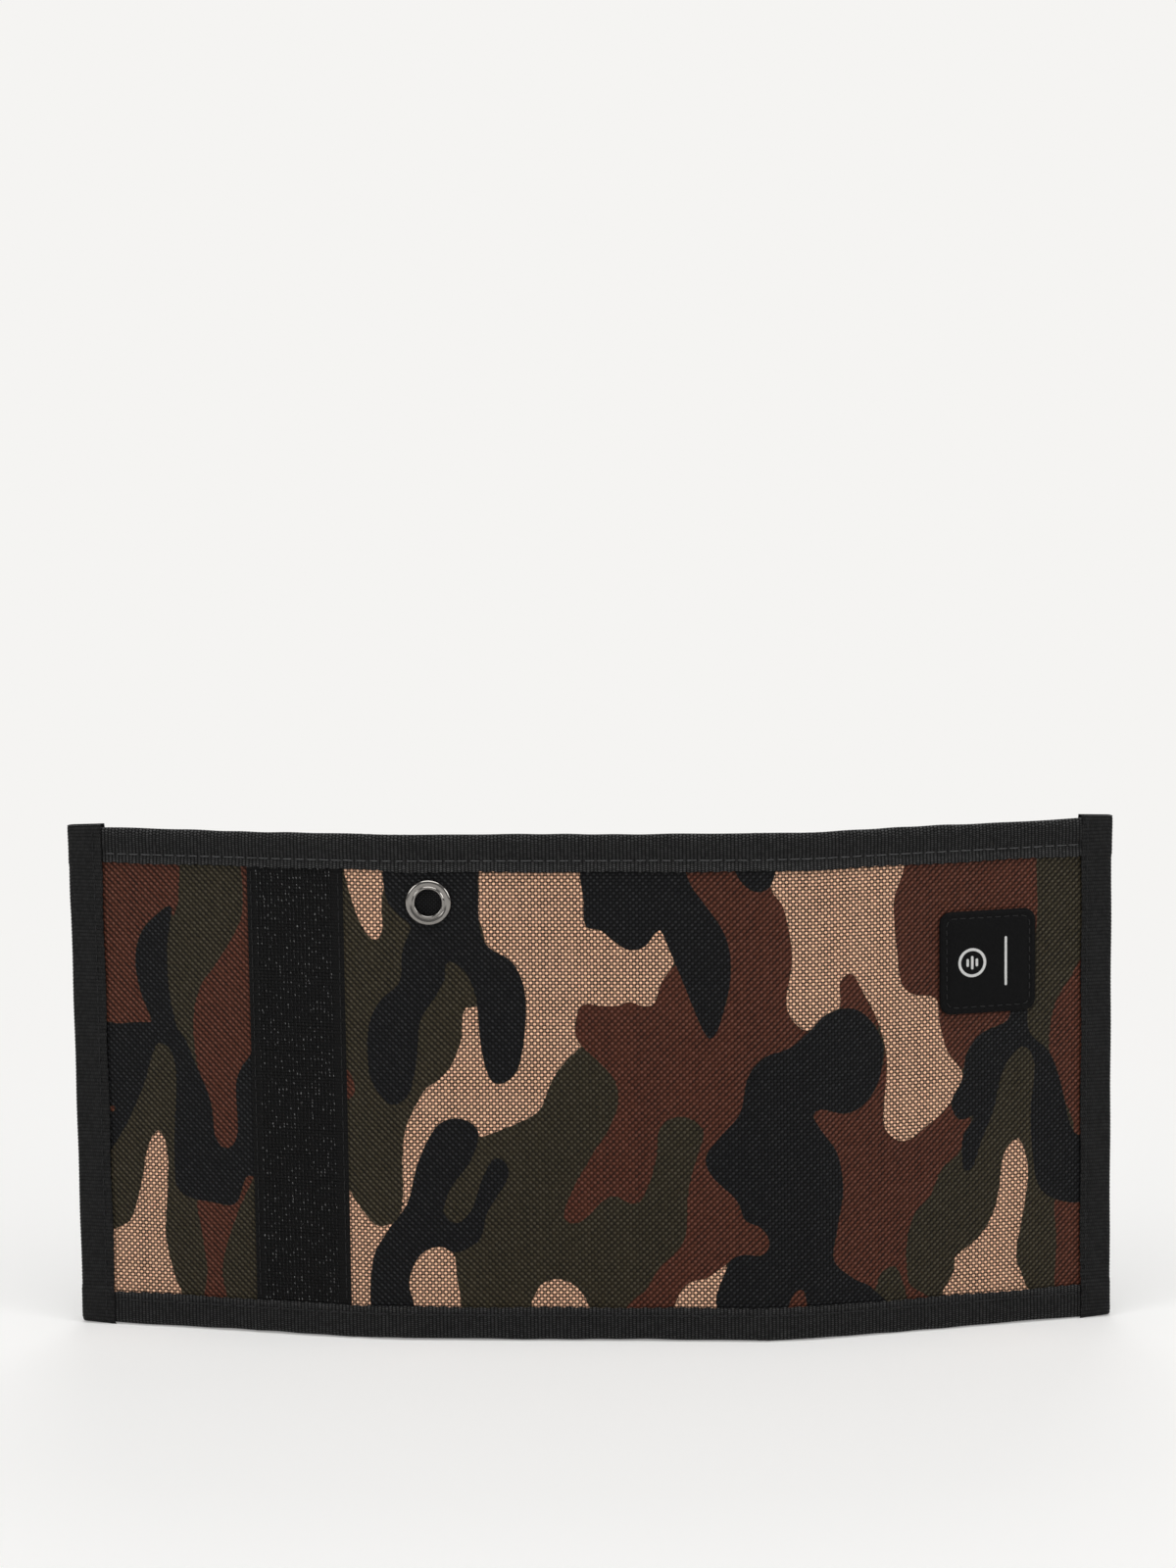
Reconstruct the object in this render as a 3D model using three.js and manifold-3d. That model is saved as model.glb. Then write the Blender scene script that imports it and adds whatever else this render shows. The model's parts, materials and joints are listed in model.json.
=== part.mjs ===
// Trifold wallet in coated nylon, standing on its long edge with both flaps folded slightly back.
//
// Three panels are joined by two narrow spines. The shell is the printed outside. Inside it hangs a
// full-length divider, which makes the note compartment, and on the divider are three card pockets,
// a zipped coin pocket and a slip pocket. Every raw edge is closed with folded binding tape. A strip
// of hook tape on the left flap's outside meets a strip of loop tape on the right flap's inside.
//
// Origin: underside of the centre panel's bottom binding, in the middle of the panel, level with the
// shell's inner face. +X runs along the centre panel, +Y points into the wallet, +Z is up. The
// printed outside faces -Y. All sizes are in millimetres and all angles in degrees.

import * as THREE from "three";
import { mergeVertices } from "three/addons/utils/BufferGeometryUtils.js";
import Module from "manifold-3d";

// ---- Overall size ----
const HEIGHT = 128;
const CENTER_WIDTH = 88.6;
const LEFT_SPINE_WIDTH = 8.6;
const RIGHT_SPINE_WIDTH = 13.4;
const LEFT_FLAP_WIDTH = 78.4;
const RIGHT_FLAP_WIDTH = 77.8;

// ---- How far each flap is folded back from flat; half of it at each crease of its spine ----
const LEFT_FOLD = 11;
const RIGHT_FOLD = 18.4;

// ---- Clearances ----
const CREASE_GAP = 0.15; // from a crease to the cloth on each side of it
const FREE_EDGE_INSET = 0.8; // from a flap's outer edge to the cloth inside its end binding
const BINDING_GAP = 0.3; // from a binding to a strip that ends beside it

// ---- Depth of each layer, measured from the shell's inner face; the inside is positive ----
const SHELL = [-0.8, 0];
const DIVIDER = [1.0, 1.35];
const OUTER_WALL = [-1.4, -0.95]; // outer wall of the top and bottom bindings
const SHELL_INNER_WALL = [0.1, 0.4]; // inner wall of the shell's top binding
const DIVIDER_OUTER_WALL = [0.6, 0.9];
const DIVIDER_INNER_WALL = [1.45, 1.8];
const DEEP_INNER_WALL = [3.35, 3.8]; // bottom binding over the card and coin pockets
const SHALLOW_INNER_WALL = [2.05, 2.45]; // bottom binding over the slip pocket
const END_OUTER_WALL = [-1.95, -1.5];
const LEFT_END_INNER_WALL = [3.95, 4.4];
const RIGHT_END_INNER_WALL = [2.55, 2.9];

// ---- Bindings ----
const TOP_BINDING_DEPTH = 8.9;
const BOTTOM_BINDING_DEPTH = 8.7;
const LEFT_END_BINDING_WIDTH = 9.3;
const RIGHT_END_BINDING_WIDTH = 8.4;
const END_BINDING_RISE = 0.7; // how far the end bindings stand above the top binding
const WEB = 0.6; // thickness of a binding's folded edge
const CLOTH_EDGE = 0.9; // from a bound edge to the cloth inside it
const DIVIDER_TOP = 123;
const DIVIDER_BINDING_DEPTH = 6;

// ---- Eyelet in the centre panel ----
const EYELET_FROM_CREASE = 6.9;
const EYELET_Z = 111;
const EYELET_HOLE_RADIUS = 3.25;
const EYELET_BARREL_RADIUS = 3.6;
const EYELET_FLANGE_RADIUS = 5.68;
const EYELET_FRONT = -1.75;
const EYELET_BACK = 0.85;
const WASHER_DEPTH = [0.3, 0.75];
const WASHER_RADII = [3.8, 5.2];
const SHELL_HOLE_RADIUS = 3.9;
const SHELL_SEAM_GAP = 0.1; // between the four pieces of shell that meet at the eyelet's hole
const ROUND_SEGMENTS = 48;
const CORNER_SEGMENTS = 12;

// ---- Hook and loop closure ----
const HOOK_TAPE_WIDTH = 25;
const HOOK_TAPE_FROM_FREE_EDGE = 47.5;
const HOOK_TAPE_DEPTH = [-1.75, -0.95];
const LOOP_TAPE_WIDTH = 25;
const LOOP_TAPE_DEPTH = [2.05, 2.75];
const LOOP_TAPE_TOP = 110;

// ---- Label on the right flap's outside ----
const LABEL_FROM_CREASE = 32.1;
const LABEL_WIDTH = 25.1;
const LABEL_BOTTOM = 80.3;
const LABEL_HEIGHT = 25.8;
const LABEL_CORNER = 3;
const LABEL_DEPTH = [-2.0, -1.0];

// ---- Card pockets on the centre panel, from the divider outwards ----
const POCKET_THICKNESS = 0.35;
const POCKET_PITCH = 0.55; // from one pocket to the next, through the wallet
const POCKET_FIRST_DEPTH = 1.55;
const POCKET_TOPS = { back: 100, middle: 84, front: 68 };
const POCKET_TRIM_DEPTH = 8;

// ---- Slip pocket on the right flap ----
const SLIP_POCKET_DEPTH = [1.55, 1.9];
const SLIP_POCKET_TOP = 94;

// ---- Coin pocket and its zip on the left flap ----
const ZIP_Z = 92;
const ZIP_FREE_END = 66; // from the crease to the end of the coil beside the end binding
const ZIP_CREASE_END = 12; // from the crease to the other end of the coil
const COIN_PANEL_DEPTH = [2.8, 3.2];
const COIN_PANEL_FROM_ZIP = 3.2;
const COIN_POCKET_TOP = 106;
const ZIP_TAPE_DEPTH = [2.3, 2.6];
const ZIP_TAPE_WIDTH = 8;
const COIL_DEPTH = [2.7, 3.7];
const COIL_HEIGHT = 1.5;
const COIL_HALF_GAP = 0.3; // from the zip's centre line to each coil and tape
const STOP_LENGTH = 2;
const STOP_DEPTH = [3.85, 4.4];

// ---- Slider and pull tab ----
const SLIDER_LENGTH = 9;
const SLIDER_HALF_HEIGHT = 2.7;
const SLIDER_FRONT_PLATE = [3.95, 4.4];
const SLIDER_BACK_PLATE = [1.7, 2.1];
const SLIDER_FLANGE_THICKNESS = 0.6;
const SLIDER_FLANGE_BACK = 2.9;
const SLIDER_POST_HALF = 0.15;
const BRIDGE_HALF_LENGTH = 1.7;
const BRIDGE_HALF_HEIGHT = 0.5;
const BRIDGE_LEG = 0.5;
const BRIDGE_BAR = [5.4, 5.8];
const TAB_AXIS_DEPTH = 4.9;
const TAB_HALF_THICKNESS = 0.25;
const TAB_LENGTH = 14;
const TAB_HALF_HEIGHT = 1.9;
const TAB_EYE_HALF_HEIGHT = 0.8;
const TAB_EYE_LENGTH = 2.6;
const TAB_AXLE_HALF = 0.3;

// ---- Panels: their span along X in their own frames, and which ends are creases ----
const PANELS = {
  left_flap: { from: -LEFT_FLAP_WIDTH, to: 0, creases: [false, true], innerWall: DEEP_INNER_WALL },
  left_spine: { from: -LEFT_SPINE_WIDTH, to: 0, creases: [true, true], innerWall: DEEP_INNER_WALL },
  center: {
    from: -CENTER_WIDTH / 2, to: CENTER_WIDTH / 2, creases: [true, true], innerWall: DEEP_INNER_WALL,
  },
  right_spine: { from: 0, to: RIGHT_SPINE_WIDTH, creases: [true, true], innerWall: SHALLOW_INNER_WALL },
  right_flap: { from: 0, to: RIGHT_FLAP_WIDTH, creases: [true, false], innerWall: SHALLOW_INNER_WALL },
};

const wasm = await Module();
wasm.setup();

// ---- Materials ----
function material(color, roughness, metalness = 0) {
  return new THREE.MeshStandardMaterial({ color, roughness, metalness, flatShading: true });
}

const LOOKS = {
  printedNylon: () => material(0x5c4636, 0.8),
  liningNylon: () => material(0x1c1c1d, 0.7),
  bindingTape: () => material(0x2a2a2b, 0.85),
  hookTape: () => material(0x161617, 0.6),
  loopTape: () => material(0x1b1b1c, 0.95),
  leather: () => material(0x1a1a1b, 0.45),
  nickel: () => material(0xd2d2ce, 0.2, 1),
  zipCoil: () => material(0x232324, 0.5),
};

// ---- Solids and boolean operations ----
function solidOf(geometry) {
  const bare = geometry.clone();
  bare.deleteAttribute("normal");
  bare.deleteAttribute("uv");
  const merged = mergeVertices(bare);
  return new wasm.Manifold(new wasm.Mesh({
    numProp: 3,
    vertProperties: new Float32Array(merged.attributes.position.array),
    triVerts: new Uint32Array(merged.index.array),
  }));
}

function geometryOf(solid) {
  const mesh = solid.getMesh();
  const geometry = new THREE.BufferGeometry();
  geometry.setAttribute("position", new THREE.BufferAttribute(mesh.vertProperties, 3));
  geometry.setIndex(new THREE.BufferAttribute(mesh.triVerts, 1));
  geometry.computeVertexNormals();
  return geometry;
}

const shared = (a, b) => geometryOf(solidOf(a).intersect(solidOf(b)));
const cut = (a, b) => geometryOf(solidOf(a).subtract(solidOf(b)));

function joined(...parts) {
  return geometryOf(parts.map(solidOf).reduce((sum, next) => sum.add(next)));
}

// ---- Basic shapes; each range is [low, high] ----
function block(x, y, z) {
  const geometry = new THREE.BoxGeometry(x[1] - x[0], y[1] - y[0], z[1] - z[0]);
  return geometry.translate((x[0] + x[1]) / 2, (y[0] + y[1]) / 2, (z[0] + z[1]) / 2);
}

function shapeFrom(points) {
  return new THREE.Shape(points.map(([u, v]) => new THREE.Vector2(u, v)));
}

function extruded(shape, depth) {
  return new THREE.ExtrudeGeometry(shape, { depth, bevelEnabled: false, curveSegments: CORNER_SEGMENTS });
}

// A plan outline of [x, y] points, raised over a range of heights.
function uprightPrism(points, z) {
  return extruded(shapeFrom(points), z[1] - z[0]).translate(0, 0, z[0]);
}

// A section of [y, z] points, run along X.
function lengthwisePrism(points, x) {
  const axes = new THREE.Matrix4().makeBasis(
    new THREE.Vector3(0, 1, 0), new THREE.Vector3(0, 0, 1), new THREE.Vector3(1, 0, 0));
  return extruded(shapeFrom(points), x[1] - x[0]).applyMatrix4(axes).translate(x[0], 0, 0);
}

// A face outline in X and Z, given a thickness over a range of depths.
function facePrism(shape, y) {
  const axes = new THREE.Matrix4().makeBasis(
    new THREE.Vector3(1, 0, 0), new THREE.Vector3(0, 0, 1), new THREE.Vector3(0, -1, 0));
  return extruded(shape, y[1] - y[0]).applyMatrix4(axes).translate(0, y[1], 0);
}

// A ring about an axis along Y, from a closed profile of [radius, y] points.
function ring(profile, x, z) {
  const points = [...profile, profile[0]].map(([r, y]) => new THREE.Vector2(r, y));
  return new THREE.LatheGeometry(points, ROUND_SEGMENTS).translate(x, 0, z);
}

// ---- Cloth layers ----
// How far a layer stops short of a panel's end. A crease closes to a right angle, so cloth inside
// it is set back by its own depth; both sides of the fold then clear each other.
const inset = (crease, y) => (crease ? CREASE_GAP + Math.max(y, 0) : FREE_EDGE_INSET);

function planOutline(panel, depth) {
  const levels = depth[0] < 0 && depth[1] > 0 ? [depth[0], 0, depth[1]] : depth;
  const start = levels.map((y) => [panel.from + inset(panel.creases[0], y), y]);
  const end = levels.map((y) => [panel.to - inset(panel.creases[1], y), y]);
  return [...start.reverse(), ...end];
}

const sheet = (panel, depth, z) => uprightPrism(planOutline(panel, depth), z);

// Tape folded over a horizontal edge: two walls joined by a web along the edge.
function foldedTape(panel, outer, inner, edge, open) {
  const web = edge + Math.sign(open - edge) * WEB;
  const section = [
    [outer[0], edge], [inner[1], edge], [inner[1], open], [inner[0], open],
    [inner[0], web], [outer[1], web], [outer[1], open], [outer[0], open],
  ];
  const tape = lengthwisePrism(section, [panel.from - 1, panel.to + 1]);
  const low = Math.min(edge, open) - 1;
  const high = Math.max(edge, open) + 1;
  return shared(tape, sheet(panel, [outer[0], inner[1]], [low, high]));
}

// Tape folded over a flap's outer edge, over the ends of the top and bottom bindings.
function endBinding(edge, inward, width, inner) {
  const web = edge + inward * WEB;
  const open = edge + inward * width;
  const [front, frontBack] = END_OUTER_WALL;
  const plan = [
    [edge, front], [open, front], [open, frontBack], [web, frontBack],
    [web, inner[0]], [open, inner[0]], [open, inner[1]], [edge, inner[1]],
  ];
  return uprightPrism(plan, [0, HEIGHT + END_BINDING_RISE]);
}

// ---- Assembly ----
function add(group, name, geometry, look) {
  const mesh = new THREE.Mesh(geometry, look());
  mesh.name = name;
  group.add(mesh);
}

function folded(parent, x, degrees) {
  const group = new THREE.Group();
  group.position.x = x;
  group.rotation.z = THREE.MathUtils.degToRad(degrees);
  parent.add(group);
  return group;
}

const BOUND_HEIGHT = [CLOTH_EDGE, HEIGHT - CLOTH_EDGE];

function addClothLayers(group, name) {
  const panel = PANELS[name];
  if (name === "center") {
    addCenterShell(group, panel);
  } else {
    add(group, `shell_${name}`, sheet(panel, SHELL, BOUND_HEIGHT), LOOKS.printedNylon);
  }
  add(group, `divider_${name}`, sheet(panel, DIVIDER, [CLOTH_EDGE, DIVIDER_TOP - CLOTH_EDGE]),
    LOOKS.liningNylon);
  add(group, `top_binding_${name}`,
    foldedTape(panel, OUTER_WALL, SHELL_INNER_WALL, HEIGHT, HEIGHT - TOP_BINDING_DEPTH),
    LOOKS.bindingTape);
  add(group, `divider_binding_${name}`,
    foldedTape(panel, DIVIDER_OUTER_WALL, DIVIDER_INNER_WALL, DIVIDER_TOP,
      DIVIDER_TOP - DIVIDER_BINDING_DEPTH),
    LOOKS.bindingTape);
  add(group, `bottom_binding_${name}`,
    foldedTape(panel, OUTER_WALL, panel.innerWall, 0, BOTTOM_BINDING_DEPTH), LOOKS.bindingTape);
}

// ---- Centre panel ----
const eyeletX = PANELS.center.from + EYELET_FROM_CREASE;

// The centre panel's cloth, as four pieces that meet at the eyelet's hole, so that the hole stays open.
function addCenterShell(group, panel) {
  const half = SHELL_SEAM_GAP / 2;
  const through = 4 * (SHELL[1] - SHELL[0]);
  const hole = new THREE.CylinderGeometry(SHELL_HOLE_RADIUS, SHELL_HOLE_RADIUS, through, ROUND_SEGMENTS);
  hole.translate(eyeletX, 0, EYELET_Z);
  const columns = {
    left: [panel.from + CREASE_GAP, eyeletX - half],
    right: [eyeletX + half, panel.to - CREASE_GAP],
  };
  const rows = { lower: [BOUND_HEIGHT[0], EYELET_Z - half], upper: [EYELET_Z + half, BOUND_HEIGHT[1]] };
  for (const [row, z] of Object.entries(rows)) {
    for (const [column, x] of Object.entries(columns)) {
      add(group, `shell_center_${row}_${column}`, cut(block(x, SHELL, z), hole), LOOKS.printedNylon);
    }
  }
}

function addEyelet(group) {
  const flangeBack = OUTER_WALL[1];
  const flange = [
    [EYELET_HOLE_RADIUS, EYELET_FRONT], [EYELET_FLANGE_RADIUS, EYELET_FRONT],
    [EYELET_FLANGE_RADIUS, flangeBack], [EYELET_BARREL_RADIUS, flangeBack],
    [EYELET_BARREL_RADIUS, EYELET_BACK], [EYELET_HOLE_RADIUS, EYELET_BACK],
  ];
  const [inner, outer] = WASHER_RADII;
  const [front, back] = WASHER_DEPTH;
  const washer = [[inner, front], [outer, front], [outer, back], [inner, back]];
  add(group, "eyelet_flange", ring(flange, eyeletX, EYELET_Z), LOOKS.nickel);
  add(group, "eyelet_washer", ring(washer, eyeletX, EYELET_Z), LOOKS.nickel);
}

function addCardPockets(group) {
  const panel = PANELS.center;
  Object.entries(POCKET_TOPS).forEach(([name, top], index) => {
    const face = POCKET_FIRST_DEPTH + index * POCKET_PITCH;
    const depth = [face, face + POCKET_THICKNESS];
    const trim = [depth[1] + CREASE_GAP, depth[1] + CREASE_GAP + POCKET_THICKNESS];
    add(group, `card_pocket_${name}`, sheet(panel, depth, [CLOTH_EDGE, top]), LOOKS.liningNylon);
    add(group, `card_pocket_${name}_trim`, sheet(panel, trim, [top - POCKET_TRIM_DEPTH, top]),
      LOOKS.bindingTape);
  });
}

// ---- Left flap ----
function addHookTape(group) {
  const start = PANELS.left_flap.from + HOOK_TAPE_FROM_FREE_EDGE;
  const height = [BOTTOM_BINDING_DEPTH + BINDING_GAP, HEIGHT - TOP_BINDING_DEPTH - BINDING_GAP];
  add(group, "hook_tape", block([start, start + HOOK_TAPE_WIDTH], HOOK_TAPE_DEPTH, height), LOOKS.hookTape);
}

const coilX = [-ZIP_FREE_END, -ZIP_CREASE_END];

function addCoinPocket(group) {
  const panel = PANELS.left_flap;
  const lower = [CLOTH_EDGE, ZIP_Z - COIN_PANEL_FROM_ZIP];
  const upper = [ZIP_Z + COIN_PANEL_FROM_ZIP, COIN_POCKET_TOP];
  add(group, "coin_pocket_lower_panel", sheet(panel, COIN_PANEL_DEPTH, lower), LOOKS.liningNylon);
  add(group, "coin_pocket_upper_panel", sheet(panel, COIN_PANEL_DEPTH, upper), LOOKS.liningNylon);
}

function addZipSide(group, name, side) {
  const span = (near, far) => [ZIP_Z + side * near, ZIP_Z + side * far].sort((a, b) => a - b);
  const tape = sheet(PANELS.left_flap, ZIP_TAPE_DEPTH, span(COIL_HALF_GAP, ZIP_TAPE_WIDTH));
  const coil = block(coilX, COIL_DEPTH, span(COIL_HALF_GAP, COIL_HALF_GAP + COIL_HEIGHT));
  add(group, `zip_tape_${name}`, tape, LOOKS.liningNylon);
  add(group, `zip_coil_${name}`, coil, LOOKS.zipCoil);
}

function addZipStops(group) {
  const halfHeight = COIL_HALF_GAP + COIL_HEIGHT;
  const height = [ZIP_Z - halfHeight, ZIP_Z + halfHeight];
  const [freeEnd, creaseEnd] = coilX;
  add(group, "zip_stop_closed", block([freeEnd, freeEnd + STOP_LENGTH], STOP_DEPTH, height), LOOKS.nickel);
  add(group, "zip_stop_open", block([creaseEnd - STOP_LENGTH, creaseEnd], STOP_DEPTH, height), LOOKS.nickel);
}

const sliderX = coilX[0] + STOP_LENGTH + BINDING_GAP + SLIDER_LENGTH / 2;

// Two plates joined by a thin post between the coils, with side flanges and an arch for the tab.
function addSlider(group) {
  const length = [sliderX - SLIDER_LENGTH / 2, sliderX + SLIDER_LENGTH / 2];
  const height = [ZIP_Z - SLIDER_HALF_HEIGHT, ZIP_Z + SLIDER_HALF_HEIGHT];
  const flangeDepth = [SLIDER_FLANGE_BACK, SLIDER_FRONT_PLATE[1]];
  const arch = [ZIP_Z - BRIDGE_HALF_HEIGHT, ZIP_Z + BRIDGE_HALF_HEIGHT];
  const legDepth = [SLIDER_FRONT_PLATE[0], BRIDGE_BAR[1]];
  const archStart = sliderX - BRIDGE_HALF_LENGTH;
  const archEnd = sliderX + BRIDGE_HALF_LENGTH;
  const slider = joined(
    block(length, SLIDER_FRONT_PLATE, height),
    block(length, SLIDER_BACK_PLATE, height),
    block(length, [SLIDER_BACK_PLATE[0], SLIDER_FRONT_PLATE[1]],
      [ZIP_Z - SLIDER_POST_HALF, ZIP_Z + SLIDER_POST_HALF]),
    block(length, flangeDepth, [height[0], height[0] + SLIDER_FLANGE_THICKNESS]),
    block(length, flangeDepth, [height[1] - SLIDER_FLANGE_THICKNESS, height[1]]),
    block([archStart, archStart + BRIDGE_LEG], legDepth, arch),
    block([archEnd - BRIDGE_LEG, archEnd], legDepth, arch),
    block([archStart, archEnd], BRIDGE_BAR, arch),
  );
  add(group, "zip_slider_body", slider, LOOKS.nickel);
}

// A flat tab with an eye; the bar at its end is the axle under the slider's arch.
function addPullTab(group) {
  const start = sliderX - TAB_AXLE_HALF;
  const end = start + TAB_LENGTH;
  const [bottom, top] = [ZIP_Z - TAB_HALF_HEIGHT, ZIP_Z + TAB_HALF_HEIGHT];
  const outline = shapeFrom([[start, bottom], [end, bottom], [end, top], [start, top]]);
  const eyeStart = sliderX + TAB_AXLE_HALF;
  const [eyeBottom, eyeTop] = [ZIP_Z - TAB_EYE_HALF_HEIGHT, ZIP_Z + TAB_EYE_HALF_HEIGHT];
  const eyeEnd = eyeStart + TAB_EYE_LENGTH;
  outline.holes.push(shapeFrom([
    [eyeStart, eyeBottom], [eyeStart, eyeTop], [eyeEnd, eyeTop], [eyeEnd, eyeBottom],
  ]));
  const depth = [TAB_AXIS_DEPTH - TAB_HALF_THICKNESS, TAB_AXIS_DEPTH + TAB_HALF_THICKNESS];
  add(group, "zip_pull_tab", facePrism(outline, depth), LOOKS.nickel);
}

// ---- Right flap ----
function addLoopTape(group) {
  const end = RIGHT_FLAP_WIDTH - RIGHT_END_BINDING_WIDTH - BINDING_GAP;
  const height = [BOTTOM_BINDING_DEPTH + BINDING_GAP, LOOP_TAPE_TOP];
  add(group, "loop_tape", block([end - LOOP_TAPE_WIDTH, end], LOOP_TAPE_DEPTH, height), LOOKS.loopTape);
}

function addLabel(group) {
  const shape = new THREE.Shape();
  const [left, right] = [LABEL_FROM_CREASE, LABEL_FROM_CREASE + LABEL_WIDTH];
  const [bottom, top] = [LABEL_BOTTOM, LABEL_BOTTOM + LABEL_HEIGHT];
  const quarter = Math.PI / 2;
  shape.absarc(right - LABEL_CORNER, bottom + LABEL_CORNER, LABEL_CORNER, -quarter, 0);
  shape.absarc(right - LABEL_CORNER, top - LABEL_CORNER, LABEL_CORNER, 0, quarter);
  shape.absarc(left + LABEL_CORNER, top - LABEL_CORNER, LABEL_CORNER, quarter, 2 * quarter);
  shape.absarc(left + LABEL_CORNER, bottom + LABEL_CORNER, LABEL_CORNER, 2 * quarter, 3 * quarter);
  add(group, "label_patch", facePrism(shape, LABEL_DEPTH), LOOKS.leather);
}

// ---- The wallet ----
const wallet = new THREE.Group();
const leftSpine = folded(wallet, PANELS.center.from, -LEFT_FOLD / 2);
const leftFlap = folded(leftSpine, PANELS.left_spine.from, -LEFT_FOLD / 2);
const rightSpine = folded(wallet, PANELS.center.to, RIGHT_FOLD / 2);
const rightFlap = folded(rightSpine, PANELS.right_spine.to, RIGHT_FOLD / 2);

addClothLayers(wallet, "center");
addClothLayers(leftSpine, "left_spine");
addClothLayers(leftFlap, "left_flap");
addClothLayers(rightSpine, "right_spine");
addClothLayers(rightFlap, "right_flap");

addEyelet(wallet);
addCardPockets(wallet);

add(leftFlap, "end_binding_left",
  endBinding(-LEFT_FLAP_WIDTH, 1, LEFT_END_BINDING_WIDTH, LEFT_END_INNER_WALL), LOOKS.bindingTape);
addHookTape(leftFlap);
addCoinPocket(leftFlap);
addZipSide(leftFlap, "upper", 1);
addZipSide(leftFlap, "lower", -1);
addZipStops(leftFlap);
addSlider(leftFlap);
addPullTab(leftFlap);

add(rightFlap, "end_binding_right",
  endBinding(RIGHT_FLAP_WIDTH, -1, RIGHT_END_BINDING_WIDTH, RIGHT_END_INNER_WALL), LOOKS.bindingTape);
add(rightFlap, "slip_pocket",
  sheet(PANELS.right_flap, SLIP_POCKET_DEPTH, [CLOTH_EDGE, SLIP_POCKET_TOP]), LOOKS.liningNylon);
addLoopTape(rightFlap);
addLabel(rightFlap);

export default wallet;
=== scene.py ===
# Looks of the trifold wallet: woven, printed and ribbed cloth, stitching, hook and loop tape, zip and metal.
import json
import math

import bpy
import numpy as np
from mathutils import Matrix, Vector

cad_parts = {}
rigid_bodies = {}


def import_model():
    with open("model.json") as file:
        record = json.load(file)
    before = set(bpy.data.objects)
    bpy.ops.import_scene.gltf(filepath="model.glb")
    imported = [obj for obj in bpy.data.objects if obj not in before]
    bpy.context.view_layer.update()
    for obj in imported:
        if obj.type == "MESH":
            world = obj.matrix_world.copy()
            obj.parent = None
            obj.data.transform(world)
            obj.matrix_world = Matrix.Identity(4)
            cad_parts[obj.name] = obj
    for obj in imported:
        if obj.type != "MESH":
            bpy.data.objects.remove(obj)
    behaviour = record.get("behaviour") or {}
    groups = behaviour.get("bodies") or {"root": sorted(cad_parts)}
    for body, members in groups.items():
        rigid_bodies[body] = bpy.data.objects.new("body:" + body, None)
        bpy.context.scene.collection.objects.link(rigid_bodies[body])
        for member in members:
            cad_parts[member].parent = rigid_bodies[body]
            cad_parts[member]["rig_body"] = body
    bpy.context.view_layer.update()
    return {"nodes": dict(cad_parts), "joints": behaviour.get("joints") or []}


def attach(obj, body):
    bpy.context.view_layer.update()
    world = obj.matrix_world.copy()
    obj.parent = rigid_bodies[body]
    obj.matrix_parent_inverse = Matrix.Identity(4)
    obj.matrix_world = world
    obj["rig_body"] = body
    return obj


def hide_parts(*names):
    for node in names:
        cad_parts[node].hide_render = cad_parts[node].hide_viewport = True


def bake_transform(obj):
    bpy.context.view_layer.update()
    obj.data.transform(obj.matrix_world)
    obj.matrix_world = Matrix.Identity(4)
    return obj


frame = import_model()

MM = 0.001
rng = np.random.default_rng(7)

# ---- The flattened wallet -------------------------------------------------------------------------
# Every cloth piece is drawn on the flattened wallet, as (u, depth, z) in millimetres: u runs along the
# shell from the middle of the centre panel, depth goes through the cloth from the shell's inner face
# (the inside is positive) and z is height. place() folds such points to where the frame has them.

JOINTS = {joint["name"]: joint for joint in frame["joints"]}


def rest_fold(name):
    """How far a crease is folded at rest, in radians: its lower limit is the flat wallet."""
    return -math.radians(JOINTS[name]["range_deg"][0])


def crease_point(name):
    return np.array(JOINTS[name]["pos_m"][:2]) / MM


LEFT_FOLD = rest_fold("left_inner_fold")
RIGHT_FOLD = rest_fold("right_inner_fold")
LEFT_CREASE = crease_point("left_inner_fold")[0]
RIGHT_CREASE = crease_point("right_inner_fold")[0]
LEFT_FLAP_CREASE = LEFT_CREASE - np.linalg.norm(
    crease_point("left_outer_fold") - crease_point("left_inner_fold"))
RIGHT_FLAP_CREASE = RIGHT_CREASE + np.linalg.norm(
    crease_point("right_outer_fold") - crease_point("right_inner_fold"))

# Body: its panel's origin, its heading and the u of that origin.
PANELS = {
    "center_panel": (np.zeros(2), 0.0, 0.0),
    "left_spine": (crease_point("left_inner_fold"), -LEFT_FOLD, LEFT_CREASE),
    "left_flap": (crease_point("left_outer_fold"), -2 * LEFT_FOLD, LEFT_FLAP_CREASE),
    "right_spine": (crease_point("right_inner_fold"), RIGHT_FOLD, RIGHT_CREASE),
    "right_flap": (crease_point("right_outer_fold"), 2 * RIGHT_FOLD, RIGHT_FLAP_CREASE),
}
PANELS["zip_slider"] = PANELS["zip_pull"] = PANELS["left_flap"]


class Flat:
    """The box of a CAD node on the flattened wallet, in millimetres."""

    def __init__(self, node):
        found = frame["nodes"][node]
        origin, heading, start = PANELS[found["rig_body"]]
        points = np.array([v.co for v in found.data.vertices]) / MM
        along = np.array([math.cos(heading), math.sin(heading)])
        inward = np.array([-math.sin(heading), math.cos(heading)])
        u = start + (points[:, :2] - origin) @ along
        depth = (points[:, :2] - origin) @ inward
        self.u0, self.u1 = u.min(), u.max()
        self.outer, self.inner = depth.min(), depth.max()
        self.z0, self.z1 = points[:, 2].min(), points[:, 2].max()
        self.width, self.height = self.u1 - self.u0, self.z1 - self.z0
        self.u, self.depth, self.z = (self.u0 + self.u1) / 2, depth.mean(), (self.z0 + self.z1) / 2


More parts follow.
